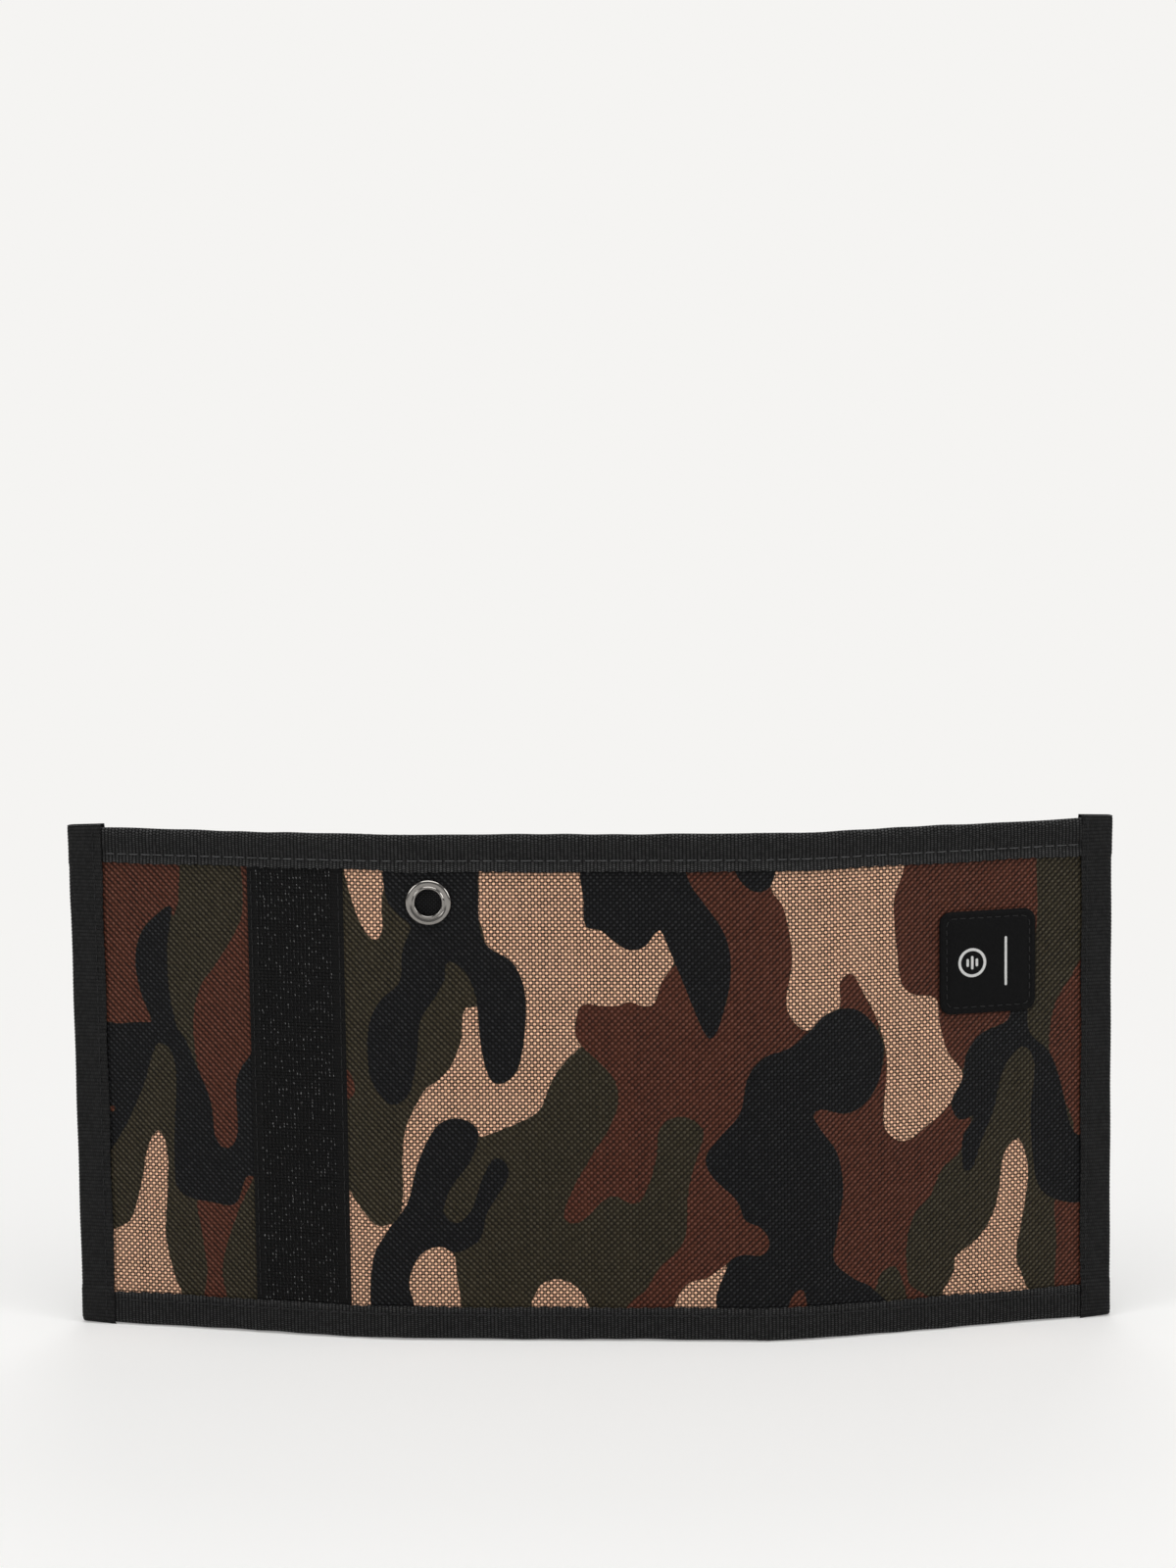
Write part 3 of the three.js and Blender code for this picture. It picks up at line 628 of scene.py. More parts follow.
# ---- The print ------------------------------------------------------------------------------------
# Four-colour camouflage on a green ground. Each patch is a closed smooth outline through (u, z) points,
# in millimetres, and later patches lie over earlier ones.
TOP, FOOT = 122, 6  # the print runs on under the top and bottom bindings
PATCHES = [
    ("tan", [(-26, TOP), (26, TOP), (26, 88), (5, 80), (0, 75), (-5, 70), (-8, 65), (-10, 60), (-13, 57),
             (-21, 53.5), (-25, 52), (-28, 52), (-34, 45), (-40, 35), (-43, 28), (-45, 18), (-45, FOOT),
             (-62, FOOT), (-62, 38), (-59, 38), (-57, 35), (-53, 30), (-50, 29), (-46, 32), (-45, 38),
             (-45, 48), (-44, 54), (-42, 59), (-39, 64), (-35, 67), (-32, 71), (-30, 76), (-29, 84),
             (-26, 85), (-22, 90), (-24, 104)]),
    ("tan", [(-45, FOOT), (-45, 22), (-38, 26), (-33, 23), (-32, 16), (-32, FOOT)]),
    ("brown", [(0, 75), (-1.5, 79), (0, 85), (5, 85), (9, 85), (12, 86), (15, 85), (18, 85.5), (20, 91),
               (23, 96), (22, 104), (22, TOP), (106, TOP + 3), (114, TOP + 3), (115.5, 112), (115.5, 103),
               (114.5, 95), (112, 82), (110, 76), (104, 72), (97, 66), (98, 57), (98, 52), (95, 45),
               (90.5, 41.5), (87.5, 35), (83, 30), (81, 22), (81.5, 13), (83, FOOT), (15, FOOT), (16, 14),
               (19, 19), (25, 26), (26, 38), (28, 46), (30, 53), (27, 56.5), (23, 57), (19, 54), (18, 46),
               (15, 37), (12, 35), (8, 37), (5, 36), (0, 31), (-3, 30), (-5, 32), (-3, 38), (2, 47),
               (7, 55), (9, 62), (7, 68)]),
    ("brown", [(-125, TOP), (-112, TOP + 3), (-102.5, TOP + 1), (-102, 112), (-103, 107), (-107, 100),
               (-108, 86), (-110, 79), (-118, 78), (-125, 76)]),
    ("brown", [(-85, TOP), (-85, 112), (-86, 105), (-92, 95), (-97, 88), (-99, 79), (-98, 66), (-95, 58),
               (-94, 49), (-92, 46), (-89, 46), (-87, 50), (-83, 60), (-80, 80), (-80, TOP)]),
    ("brown", [(-99, 36), (-98, 24), (-97, 15), (-98, FOOT), (-92, FOOT), (-93, 16), (-90, 27), (-86, 36),
               (-83, 42), (-83, 46), (-90, 40)]),
    ("brown", [(-60, 69), (-57.5, 67), (-57, 62.5), (-60, 61)]),
    ("brown", [(129, 90), (124, 87), (120, 80), (119, 69), (122, 59), (125, 52), (126, 47), (129, 44)]),
    ("brown", [(121, 34), (121, 20), (121, FOOT), (129, FOOT), (129, 34)]),
    ("tan", [(48, TOP), (79, TOP), (78, 109), (79, 96), (80, 89), (83, 86), (89, 84.5), (90, 78),
             (92, 71), (96, 64.5), (92, 57), (86, 52), (81, 49), (77, 50.5), (75, 55), (76, 69), (74, 79),
             (70, 87), (67, 92), (64, 90), (64, 84), (60, 82), (58, 79), (54, 79), (50.5, 85), (52, 97),
             (50, 109), (47, 114)]),
    ("tan", [(-58, TOP), (-57, 113), (-54, 105), (-51, 101.5), (-49, 104), (-49, 112), (-47, TOP)]),
    ("tan", [(-109, 51), (-112, 47), (-114, 38), (-117, 28), (-121, 25), (-124, 23), (-124, FOOT),
             (-105, FOOT), (-106, 14), (-108, 24), (-107, 37), (-107, 46)]),
    ("tan", [(110.3, 47.5), (112.4, 44.5), (113.3, 38), (112.4, 31), (110.6, 21), (110.3, 16.5),
             (112.5, 10), (113, FOOT), (91, FOOT), (93.5, 15), (94.2, 18.7), (99.5, 22.5), (103.3, 27.5),
             (105.4, 34), (106.8, 43.5)]),
    ("tan", [(-12.5, FOOT), (-12.5, 12), (-9, 15.5), (-4, 15), (0, 11), (0, FOOT)]),
    ("tan", [(23, FOOT), (23, 11), (26, 15), (30, 16), (33, 18), (37, 19.5), (37, FOOT)]),
    ("green", [(73.5, FOOT), (73.5, 14), (76, 17), (79, 16), (81, FOOT)]),
    ("black", [(-104, 108), (-107, 107), (-112, 102), (-114, 95), (-113, 87), (-110, 79), (-109, 76),
               (-103.5, 76), (-105, 85), (-105.5, 97)]),
    ("black", [(-125, 75), (-118, 78), (-110, 78.5), (-103, 77), (-99, 69), (-95, 59), (-94, 50),
               (-91, 47), (-88, 51), (-88, 64), (-85, 70), (-82, 71), (-82, 43), (-86, 40), (-89, 33),
               (-95, 33), (-104, 35.5), (-105, 46), (-104, 64), (-105, 71), (-108, 73.5), (-110, 71),
               (-113, 62), (-119, 50), (-125, 45)]),
    ("black", [(-46.5, TOP), (-48, 113), (-45, 108), (-42, 105), (-44, 99), (-45, 91), (-50, 86),
               (-53, 79), (-53, 68), (-50, 62), (-47, 60), (-43, 63), (-41, 72), (-40, 81), (-37, 86),
               (-34, 91), (-33, 96), (-29, 94), (-26, 87), (-25, 75), (-23, 67), (-20, 65.5), (-16, 69),
               (-14, 79), (-14, 89), (-17, 96), (-23, 100), (-25, 106), (-25, 116), (-26.5, TOP)]),
    ("black", [(-43, FOOT), (-44, 15), (-41, 22), (-36, 24), (-32, 22.5), (-26, 26), (-24, 33), (-19, 41),
               (-19, 45), (-22, 46.5), (-25, 42), (-28, 33.5), (-32, 30), (-35, 33), (-33, 39), (-28, 46),
               (-26, 53), (-30, 56.5), (-36, 55), (-41, 46), (-44, 35), (-49, 28), (-53, 20),
               (-53, FOOT)]),
    ("black", [(2, TOP), (1, 111), (1.5, 105), (5, 104), (8, 101.5), (12, 99), (16, 100), (19.5, 104),
               (22, 99), (26, 89), (30, 79), (32.5, 77), (35, 83), (37, 93), (35.5, 103), (28, 114),
               (22.5, TOP)]),
    ("black", [(38.5, TOP), (39, 117), (43, 113.5), (47, 115), (47.5, TOP)]),
    ("black", [(60, 82), (66, 83.5), (71, 81), (75, 74), (74, 65), (70, 59), (65, 57), (59, 58.5),
               (57, 57), (59, 53), (63, 47), (64.5, 38), (63, 28), (62, 20), (67, 15), (72, 12),
               (73.5, FOOT), (35.5, FOOT), (35.5, 19), (39, 22), (44, 22), (46, 25), (44, 29), (40, 31),
               (38, 36), (32, 42), (30.5, 47), (34, 52), (39, 58), (41, 67), (45, 72), (51, 74),
               (56, 78)]),
    ("black", [(109, 84), (108, 78), (101, 75), (97, 70), (96, 64), (93, 58), (95, 53.5), (99, 54),
               (96, 49), (96, 41), (98.5, 41), (101, 48), (104, 55), (107, 66), (112, 71), (115, 66),
               (114, 53), (115.5, 37), (120, 31.5), (129, 31), (129, 45), (125, 49), (122, 61), (119, 69),
               (114, 74), (113, 79), (114, 86)]),
    ("brown", [(50, FOOT), (52, 12), (54.5, 12.5), (55, FOOT)]),
    ("brown", [(-122.5, 56), (-121.5, 57), (-120.5, 56), (-121.5, 55)]),
]
PRINT_REACH = 4.0  # distances to a patch's outline are kept up to this, in millimetres


def smooth_outline(points, pieces=6):
    """A closed curve through points, as many short lines."""
    p = np.array(points, float)
    before, after, beyond = np.roll(p, 1, 0), np.roll(p, -1, 0), np.roll(p, -2, 0)
    t = (np.arange(pieces) / pieces)[:, None, None]
    curve = 0.5 * (2 * p + (after - before) * t + (2 * before - 5 * p + 4 * after - beyond) * t ** 2
                   + (3 * p - before - 3 * after + beyond) * t ** 3)
    return curve.transpose(1, 0, 2).reshape(-1, 2)


def inside_distance(points, outline):
    """Distance from points to an outline, positive inside it, up to the print's reach."""
    result = np.full(len(points), -PRINT_REACH)
    low, high = outline.min(0) - PRINT_REACH, outline.max(0) + PRINT_REACH
    near = ((points > low) & (points < high)).all(1)
    p = points[near][:, None]
    a, b = outline[None], np.roll(outline, -1, 0)[None]
    along = b - a
    t = np.clip(((p - a) * along).sum(-1) / np.maximum((along ** 2).sum(-1), 1e-9), 0, 1)
    distance = np.sqrt(((p - a - t[..., None] * along) ** 2).sum(-1)).min(1)
    above_a, above_b = a[..., 1] > p[..., 1], b[..., 1] > p[..., 1]
    rise = np.where(along[..., 1] == 0, 1, along[..., 1])
    crossing = a[..., 0] + (p[..., 1] - a[..., 1]) / rise * along[..., 0]
    hits = ((above_a != above_b) & (p[..., 0] < crossing)).sum(1)
    result[near] = np.minimum(distance, PRINT_REACH) * np.where(hits % 2, 1, -1)
    return result


def printed_inks(points):
    """How far each point is inside the tan, brown and black inks, in millimetres."""
    inks = {name: np.full(len(points), -PRINT_REACH) for name in ("green", "tan", "brown", "black")}
    for name, outline in PATCHES:
        covered = inside_distance(points, smooth_outline(outline))
        for other, reach in inks.items():
            inks[other] = np.maximum(reach, covered) if other == name else np.minimum(reach, -covered)
    return np.stack([inks["tan"], inks["brown"], inks["black"]], -1)


# ---- The shell ------------------------------------------------------------------------------------
TOP_BINDING = Flat("top_binding_center")
BOTTOM_BINDING = Flat("bottom_binding_center")
LEFT_END = Flat("end_binding_left")
RIGHT_END = Flat("end_binding_right")
HOOK_TAPE = Flat("hook_tape")
EYELET = Flat("eyelet_flange")
SHELL = Flat("shell_left_flap")
SHELL_CENTER_NODES = [f"shell_center_{quarter}" for quarter in
                      ("lower_left", "lower_right", "upper_left", "upper_right")]
SHELL_EDGE_INSET = 0.9  # from the wallet's free edges to the shell inside the end bindings
CLOTH_STEP = 1.0
HOLE_HALF_CELLS = 2  # the eyelet's hole is this many cells from its middle to its edge
HOLE_RADIUS = 4.05
HOLE_REACH = 8.0  # the grid is drawn out round the hole up to this distance


def nodes_of(segment, kind):
    """The CAD nodes that a segment's piece of the shell, a binding or the divider stands for."""
    names = [f"{kind}_{panel}" for panel in segment.panels]
    if kind == "shell" and "center" in segment.panels:
        names.remove("shell_center")
        names += SHELL_CENTER_NODES
    return names


def ripple(u, z):
    """Small puckers where the bindings are sewn on, and the cloth's own unevenness, in millimetres."""
    to_binding = np.minimum(TOP_BINDING.z0 - z, z - BOTTOM_BINDING.z1)
    pucker = np.sin(u * 2 * math.pi / 7.3 + 0.8 * np.sin(u / 11)) * np.exp(-np.maximum(to_binding, 0) / 5)
    uneven = 0.06 * np.sin(u / 4.1 + 1.3 * np.sin(z / 14)) * np.sin(z / 6.3 + 0.7 * np.sin(u / 19))
    crease = sum(np.exp(-((u - at) / 1.6) ** 2) for at in CREASES)
    return 0.07 * pucker + uneven - 0.18 * crease


def drawn_round_hole(u, z):
    """Moves a square grid's points outwards so that cells next to the eyelet leave a round hole."""
    du, dz = u - EYELET.u, z - EYELET.z
    ring = np.maximum(np.abs(du), np.abs(dz))
    reach = np.hypot(du, dz) + 1e-9
    start = HOLE_HALF_CELLS * CLOTH_STEP
    radius = HOLE_RADIUS + np.maximum(ring - start, 0) * (HOLE_REACH - HOLE_RADIUS) / (HOLE_REACH - start)
    share = 1 - smooth(ring, start + 1, HOLE_REACH)
    return u + share * (du / reach * radius - du), z + share * (dz / reach * radius - dz)


def add_shell(segment):
    columns = steps(*segment.within(SHELL_EDGE_INSET), CLOTH_STEP, EYELET.u)
    rows = steps(SHELL.z0, SHELL.z1, CLOTH_STEP, EYELET.z)
    u, z = np.meshgrid(columns, rows, indexing="ij")
    hole = None
    if segment.start < EYELET.u < segment.end:
        i, j = np.abs(columns - EYELET.u).argmin(), np.abs(rows - EYELET.z).argmin()
        hole = [(i - HOLE_HALF_CELLS, i + HOLE_HALF_CELLS), (j - HOLE_HALF_CELLS, j + HOLE_HALF_CELLS)]
        u, z = drawn_round_hole(u, z)
    front = np.stack([u, SHELL.outer + ripple(u, z), z], -1)
    back = np.stack([u, SHELL.inner + 0.5 * ripple(u, z), z], -1)
    cloth = np.stack([u, z, np.zeros_like(u)], -1)
    inks = printed_inks(np.stack([u, z], -1).reshape(-1, 2)).reshape(*u.shape, 3)
    mesh = slab_mesh(f"shell_{segment.name}", front, back, cloth, {"print": inks}, hole)
    add_piece(mesh.name, mesh, PRINTED, segment, nodes_of(segment, "shell"))


for segment in SEGMENTS:
    add_shell(segment)


# ---- Bindings -------------------------------------------------------------------------------------
TAPE = 0.4  # thickness of the binding tape, in millimetres
FACE_INSET = TAPE * 0.1  # from a CAD binding's face back to the tape's, before its ribs are added
RIB_HEIGHT = 0.1
RIB_STEP = RIB_PITCH / 4
BINDING_INSET = 0.5  # the lengthwise bindings end this far inside the wallet's free edges
STITCH_PITCH = 3.15
STITCH_LENGTH = 2.75
STITCH_RADIUS = 0.15
TOP_LAP = 0.6  # how far the top binding comes down past its CAD solid, except on the left flap
TOP_STITCH_Z = TOP_BINDING.z0 + 2.3
BOTTOM_STITCH_Z = BOTTOM_BINDING.z1 - 2.05
END_STITCH_INSET = {-1: 2.2, 1: 1.4}  # from an end binding's inner edge to its stitching, by side
DIVIDER_BINDING = Flat("divider_binding_center")
DIVIDER_STITCH_Z = DIVIDER_BINDING.z0 + 1.7
WALL_ROWS, FOLD_ROWS = 12, 9
TOP_INNER = 1.35  # depth of the end bindings' inside at the top, where only the shell is left


def ribs(along):
    """Height of the tape's ribs, from 0 in a groove to 1."""
    return np.abs(np.sin(along * math.pi / RIB_PITCH)) ** 0.6


def tape_section(outer, inner, edge, open_edge, roundness):
    """Centre line of a tape folded over an edge, for each column: (depth, level) from one open edge to
    the other by way of the fold. All but the roundness may change from column to column."""
    outer, inner, edge, open_edge = np.broadcast_arrays(*(np.atleast_1d(v).astype(float)
                                                          for v in (outer, inner, edge, open_edge)))
    way = np.sign(edge - open_edge)
    half = (inner - outer) / 2 - TAPE / 2
    middle = (inner + outer) / 2
    rise = np.minimum(half, roundness)
    shoulder = edge - way * (rise + TAPE / 2)
    wall = np.linspace(0, 1, WALL_ROWS)
    turn = np.linspace(0, math.pi, FOLD_ROWS + 2)[1:-1]
    squareness = 0.8
    across = -np.sign(np.cos(turn)) * np.abs(np.cos(turn)) ** squareness
    over = np.sin(turn) ** squareness
    level_up = open_edge[:, None] + (shoulder - open_edge)[:, None] * wall
    depth = np.concatenate([np.repeat((middle - half)[:, None], WALL_ROWS, 1),
                            middle[:, None] + half[:, None] * across,
                            np.repeat((middle + half)[:, None], WALL_ROWS, 1)], 1)
    level = np.concatenate([level_up, shoulder[:, None] + (way * rise)[:, None] * over, level_up[:, ::-1]], 1)
    return depth, level


def outward_normals(depth, level, way):
    """Unit normals of a folded tape's section that point out of the fold."""
    run_depth, run_level = np.gradient(depth, axis=1), np.gradient(level, axis=1)
    size = way * np.hypot(run_depth, run_level)
    return -run_level / size, run_depth / size


def section_length(depth, level):
    """Distance along a section from its first point."""
    return np.cumsum(np.hypot(np.gradient(depth, axis=1), np.gradient(level, axis=1)), 1)


def edge_thinning(rows):
    """Half thickness of a tape, rounded at its two open edges."""
    from_edge = np.minimum(np.arange(rows), rows - 1 - np.arange(rows))
    return TAPE / 2 * np.array([0.55, 0.9])[np.minimum(from_edge, 1)] ** (from_edge < 2)


def stitch_dent(level, line, along, depth=0.17):
    """How far stitching pulls the tape in, deepest where the needle went through."""
    holes = 0.7 + 0.3 * np.cos(2 * math.pi * along / STITCH_PITCH)
    return -depth * np.exp(-((level - line) / 0.75) ** 2) * holes


def hook_bulge(u):
    """How far the bindings stand out where they lie over the ends of the hook tape."""
    return 0.3 * window(u, HOOK_TAPE.u0 - 0.2, HOOK_TAPE.u1 + 0.2, 1.2)


def inner_depth(u, kind):
    """Depth of a lengthwise binding's inside, which changes at the right crease."""
    thick, thin = Flat(f"{kind}_center").inner, Flat(f"{kind}_right_spine").inner
    return thick + (thin - thick) * smooth(u, RIGHT_CREASE - 3, RIGHT_CREASE + 2)


def lengthwise_section(kind, u, box, edge, open_edge, roundness, bulge):
    """Centre line of a lengthwise binding for each column: (depth, level)."""
    way = np.sign(edge - open_edge)
    outer = box.outer + FACE_INSET - bulge * hook_bulge(u)
    scallop = 0.12 * np.sin(2 * math.pi * u / STITCH_PITCH) + 0.12 * np.sin(u / 5.3) + 0.1 * ribs(u)
    if kind == "top_binding":
        scallop = scallop - TOP_LAP * smooth(u, LEFT_FLAP_CREASE, LEFT_CREASE + 3)
    uneven = 0.14 + 0.08 * np.sin(u / 7.7) + 0.06 * np.sin(u / 2.6 + 2 * np.sin(u / 13))
    return tape_section(outer, inner_depth(u, kind), edge - way * uneven, open_edge + way * scallop,
                        roundness)


def lengthwise_relief(along, level, edge, open_edge, stitch_z, fullness):
    """How far the face of a lengthwise binding stands out: ribs, stitching, fullness and kinks."""
    puff = fullness * np.sin(math.pi * np.clip((level - stitch_z) / (edge - stitch_z), 0, 1))
    flare = fullness * np.clip((level - stitch_z) / (open_edge - stitch_z), 0, 1) ** 1.5
    relief = RIB_HEIGHT * ribs(along) + stitch_dent(level, stitch_z, along) + puff + flare
    return relief + 0.05 * np.sin(along / 3.7 + level) + 0.12 * crease_kink(along)


def wear_and_painted_light(level, edge, open_edge, stitch_z):
    """How much painted light a lengthwise binding gets, from 0 to 1: most on its fold and past its stitching.
    """
    past_stitches = np.clip((level - stitch_z) / (open_edge - stitch_z), 0, 1)
    return np.maximum(np.exp(-((level - edge) / 1.3) ** 2), 0.8 * smooth(past_stitches, 0.1, 0.6))


def add_lengthwise_binding(segment, kind, box, edge, open_edge, stitch_z, roundness, bulge, fullness):
    way = np.sign(edge - open_edge)
    u = steps(*segment.within(BINDING_INSET), RIB_STEP)
    depth, level = lengthwise_section(kind, u, box, edge, open_edge, roundness, bulge)
    out_depth, out_level = outward_normals(depth, level, way)
    relief = lengthwise_relief(u[:, None], level, edge, open_edge, stitch_z, fullness)
    half = edge_thinning(depth.shape[1])
    columns = np.broadcast_to(u[:, None], depth.shape)
    front = np.stack([columns, depth + out_depth * (half + relief),
                      level + out_level * (half + 0.3 * relief)], -1)
    back = np.stack([columns, depth - out_depth * half, level - out_level * half], -1)
    front[..., 2] = np.minimum(front[..., 2], edge) if way > 0 else np.maximum(front[..., 2], edge)
    # The third cloth coordinate is painted light: most on the fold and past the stitching.
    cloth = np.stack([columns, section_length(depth, level), wear_and_painted_light(level, edge, open_edge, stitch_z)], -1)
    mesh = slab_mesh(f"{kind}_{segment.name}", front, back, cloth)
    add_piece(mesh.name, mesh, BINDING, segment, nodes_of(segment, kind))


def crease_kink(u):
    """Small ridges beside each crease, where the tape buckles."""
    return sum(np.exp(-((u - at - side * 1.1) / 0.6) ** 2) for at in CREASES for side in (-1, 1))


def end_sink(z):
    """How far an end binding's outside lies back from its CAD face between the lengthwise bindings."""
    soft = 1.6
    return (window(z, BOTTOM_BINDING.z1 + soft, TOP_BINDING.z0 - soft, soft)
            * (SHELL.outer - TOP_BINDING.outer - 0.1))


def end_section(z, box, side, open_edge, layers):
    """Centre line of an end binding at each height: (depth, u). layers are (z, depth of its inside)."""
    outer = box.outer + end_sink(z)
    inner = np.interp(z, *zip(*layers))
    edge = box.u0 if side < 0 else box.u1
    pinch = 0.3 * (smooth(z, box.z1 - 1.6, box.z1) + 1 - smooth(z, box.z0, box.z0 + 1.6))
    shift = (inner - outer - 2 * TAPE) * pinch / 2
    wobble = 0.12 * np.sin(z / 5.1) + 0.1 * ribs(z) + 0.08 * np.sin(2 * math.pi * z / STITCH_PITCH)
    return tape_section(outer + shift, inner - shift, edge, open_edge + side * wobble, 1.3)


def add_end_binding(side, box, layers):
    """The tape over a flap's outer edge; side is -1 on the left and 1 on the right."""
    flank = "left" if side < 0 else "right"
    z = steps(box.z0, box.z1, RIB_STEP)
    open_edge = box.u1 if side < 0 else box.u0
    depth, u = end_section(z, box, side, open_edge, layers)
    out_depth, out_u = outward_normals(depth, u, side)
    along = z[:, None]
    relief = RIB_HEIGHT * ribs(along) + stitch_dent(u, open_edge + side * END_STITCH_INSET[side], along)
    relief = relief + 0.05 * np.sin(along / 4.3 + u)
    half = edge_thinning(depth.shape[1])
    level = np.broadcast_to(along, depth.shape)
    near_open = np.abs(u - open_edge) / box.width
    squareness = smooth(level, box.z1 - 4, box.z1) - 1 + smooth(level, box.z0, box.z0 + 4)
    level = level - 0.5 * near_open * squareness
    front = np.stack([u + out_u * (half + relief), depth + out_depth * (half + relief), level], -1)
    back = np.stack([u - out_u * half, depth - out_depth * half, level], -1)
    front[..., 0] = np.clip(front[..., 0], box.u0, box.u1)
    length = section_length(depth, u)
    cloth = np.stack([np.broadcast_to(along, depth.shape), length, np.zeros_like(length)], -1)
    name = f"end_binding_{flank}"
    add_piece(name, slab_mesh(name, front, back, cloth), END_BINDING, f"{flank}_flap", [name])


def add_bindings():
    for segment in SEGMENTS:
        add_lengthwise_binding(segment, "top_binding", TOP_BINDING, TOP_BINDING.z1, TOP_BINDING.z0,
                               TOP_STITCH_Z, 0.75, 1.0, 0.2)
        add_lengthwise_binding(segment, "bottom_binding", BOTTOM_BINDING, BOTTOM_BINDING.z0,
                               BOTTOM_BINDING.z1, BOTTOM_STITCH_Z, 1.5, 1.0, 0.03)
        add_lengthwise_binding(segment, "divider_binding", DIVIDER_BINDING, DIVIDER_BINDING.z1,
                               DIVIDER_BINDING.z0, DIVIDER_STITCH_Z, 0.5, 0.0, 0.05)
    bottom, divider_top, top = BOTTOM_BINDING.z1, DIVIDER_BINDING.z1, TOP_BINDING.z1
    coin_top, inner = Flat("coin_pocket_upper_panel").z1, LEFT_END.inner
    add_end_binding(-1, LEFT_END, [
        (bottom, inner), (bottom + 3, inner - 0.6), (coin_top - 1, inner - 0.6), (coin_top + 4, inner - 1.9),
        (divider_top - 1, inner - 1.9), (top, TOP_INNER)])
    slip_top, inner = Flat("slip_pocket").z1, RIGHT_END.inner
    add_end_binding(1, RIGHT_END, [
        (bottom, inner - 0.3), (bottom + 3, inner - 0.4), (slip_top, inner - 0.4),
        (slip_top + 4, inner - 0.6),
        (divider_top - 1, inner - 0.6), (top, TOP_INNER)])


add_bindings()


# ---- Divider --------------------------------------------------------------------------------------
DIVIDER = Flat("divider_left_flap")
LINING_STEP = 1.6


def lining_ripple(u, z, size=0.07):
    """Unevenness of the lining, with small puckers that fade upwards from its sewn foot."""
    puckers = 0.6 * np.sin(u / 2.9) * np.exp(-z / 30)
    return size * (np.sin(u / 6.2 + z / 17) * np.sin(z / 8.5 - u / 23) + puckers)


def add_sheet(name, u_span, z_span, box, carrier, stands_for, material=LINING):
    """A plain sheet of lining between a box's two depths."""
    u, z = np.meshgrid(steps(*u_span, LINING_STEP), steps(*z_span, LINING_STEP), indexing="ij")
    wave = lining_ripple(u, z)
    front = np.stack([u, box.outer + wave, z], -1)
    back = np.stack([u, box.inner + wave, z], -1)
    cloth = np.stack([u, z, np.zeros_like(u)], -1)
    mesh = slab_mesh(name, front, back, cloth)
    add_piece(name, mesh, material, carrier, stands_for)


for segment in SEGMENTS:
    add_sheet(f"divider_{segment.name}", segment.within(SHELL_EDGE_INSET), (DIVIDER.z0, DIVIDER.z1), DIVIDER,
              segment, nodes_of(segment, "divider"))


# ---- Stitching ------------------------------------------------------------------------------------
FINE_PITCH, FINE_LENGTH, FINE_RADIUS = 2.6, 2.2, 0.13
STITCH_RISE = np.array([-0.16, 0.03, 0.1, 0.12, 0.1, 0.03, -0.16])
STITCH_TAPER = np.array([0.75, 1.0, 1.0, 1.0, 1.0, 1.0, 0.75])


def stitch_paths(line, start, end, outward, pitch=STITCH_PITCH, length=STITCH_LENGTH):
    """Paths of the stitches along a line, which gives (u, depth, z) at a distance; outward is -1 or 1."""
    count = max(1, round((end - start) / pitch))
    middles = start + (np.arange(count) + 0.5) * (end - start) / count
    along = middles[:, None] + np.linspace(-0.5, 0.5, len(STITCH_RISE)) * length
    paths = np.stack(np.broadcast_arrays(*line(along)), -1).astype(float)
    paths[..., 1] += outward * STITCH_RISE
    slant = rng.normal(0, 0.035, (count, 1)) * np.linspace(-1, 1, len(STITCH_RISE))
    paths[..., 2] += slant
    return paths


def add_stitches(name, paths, carrier, radius=STITCH_RADIUS, material=THREAD):
    loops = tube_loops(paths, radius * STITCH_TAPER, 6)
    mesh = merged(name, loops, sharp_angle=80)
    add_piece(name, mesh, material, carrier)


def add_fine_stitches(name, line, start, end, carrier):
    """Small stitches on the inside of the wallet."""
    add_stitches(name, stitch_paths(line, start, end, 1, FINE_PITCH, FINE_LENGTH), carrier, FINE_RADIUS)


def add_stitches_across(name, paths, material=THREAD):
    """Stitches of a line that crosses the creases, shared out among the segments."""
    middle = paths[:, :, 0].mean(1)
    for segment in SEGMENTS:
        mine = (middle >= segment.start) & (middle < segment.end)
        add_stitches(f"{name}_{segment.name}", paths[mine], segment, material=material)


def add_binding_stitches():
    start, end = LEFT_END.u1 + 0.6, RIGHT_END.u0 - 0.6
    ridge = RIB_HEIGHT * 0.6
    face = TOP_BINDING.outer + FACE_INSET - ridge + 0.1
    add_stitches_across("top_binding_stitches", stitch_paths(
        lambda s: (s, face - hook_bulge(s), TOP_STITCH_Z), start, end, -1))
    add_stitches_across("bottom_binding_stitches", stitch_paths(
        lambda s: (s, face - hook_bulge(s), BOTTOM_STITCH_Z), start, end, -1), DARK_THREAD)
    add_stitches_across("bottom_binding_inner_stitches", stitch_paths(
        lambda s: (s, inner_depth(s, "bottom_binding") + ridge - 0.1, BOTTOM_STITCH_Z), start, end, 1))
    add_stitches_across("divider_binding_stitches", stitch_paths(
        lambda s: (s, DIVIDER_BINDING.inner + ridge - 0.1, DIVIDER_STITCH_Z), start, end, 1))


add_binding_stitches()


def add_end_stitches():
    for name, box, side in (("left", LEFT_END, -1), ("right", RIGHT_END, 1)):
        u = (box.u1 if side < 0 else box.u0) + side * END_STITCH_INSET[side]

        def line(s, u=u, box=box):
            return u, box.outer + FACE_INSET + end_sink(s), s

        paths = stitch_paths(line, box.z0 + 1.5, box.z1 - 1.5, -1, 2.6, 1.9)
        add_stitches(f"end_binding_stitches_{name}", paths, f"{name}_flap", 0.14, DARK_THREAD)


add_end_stitches()


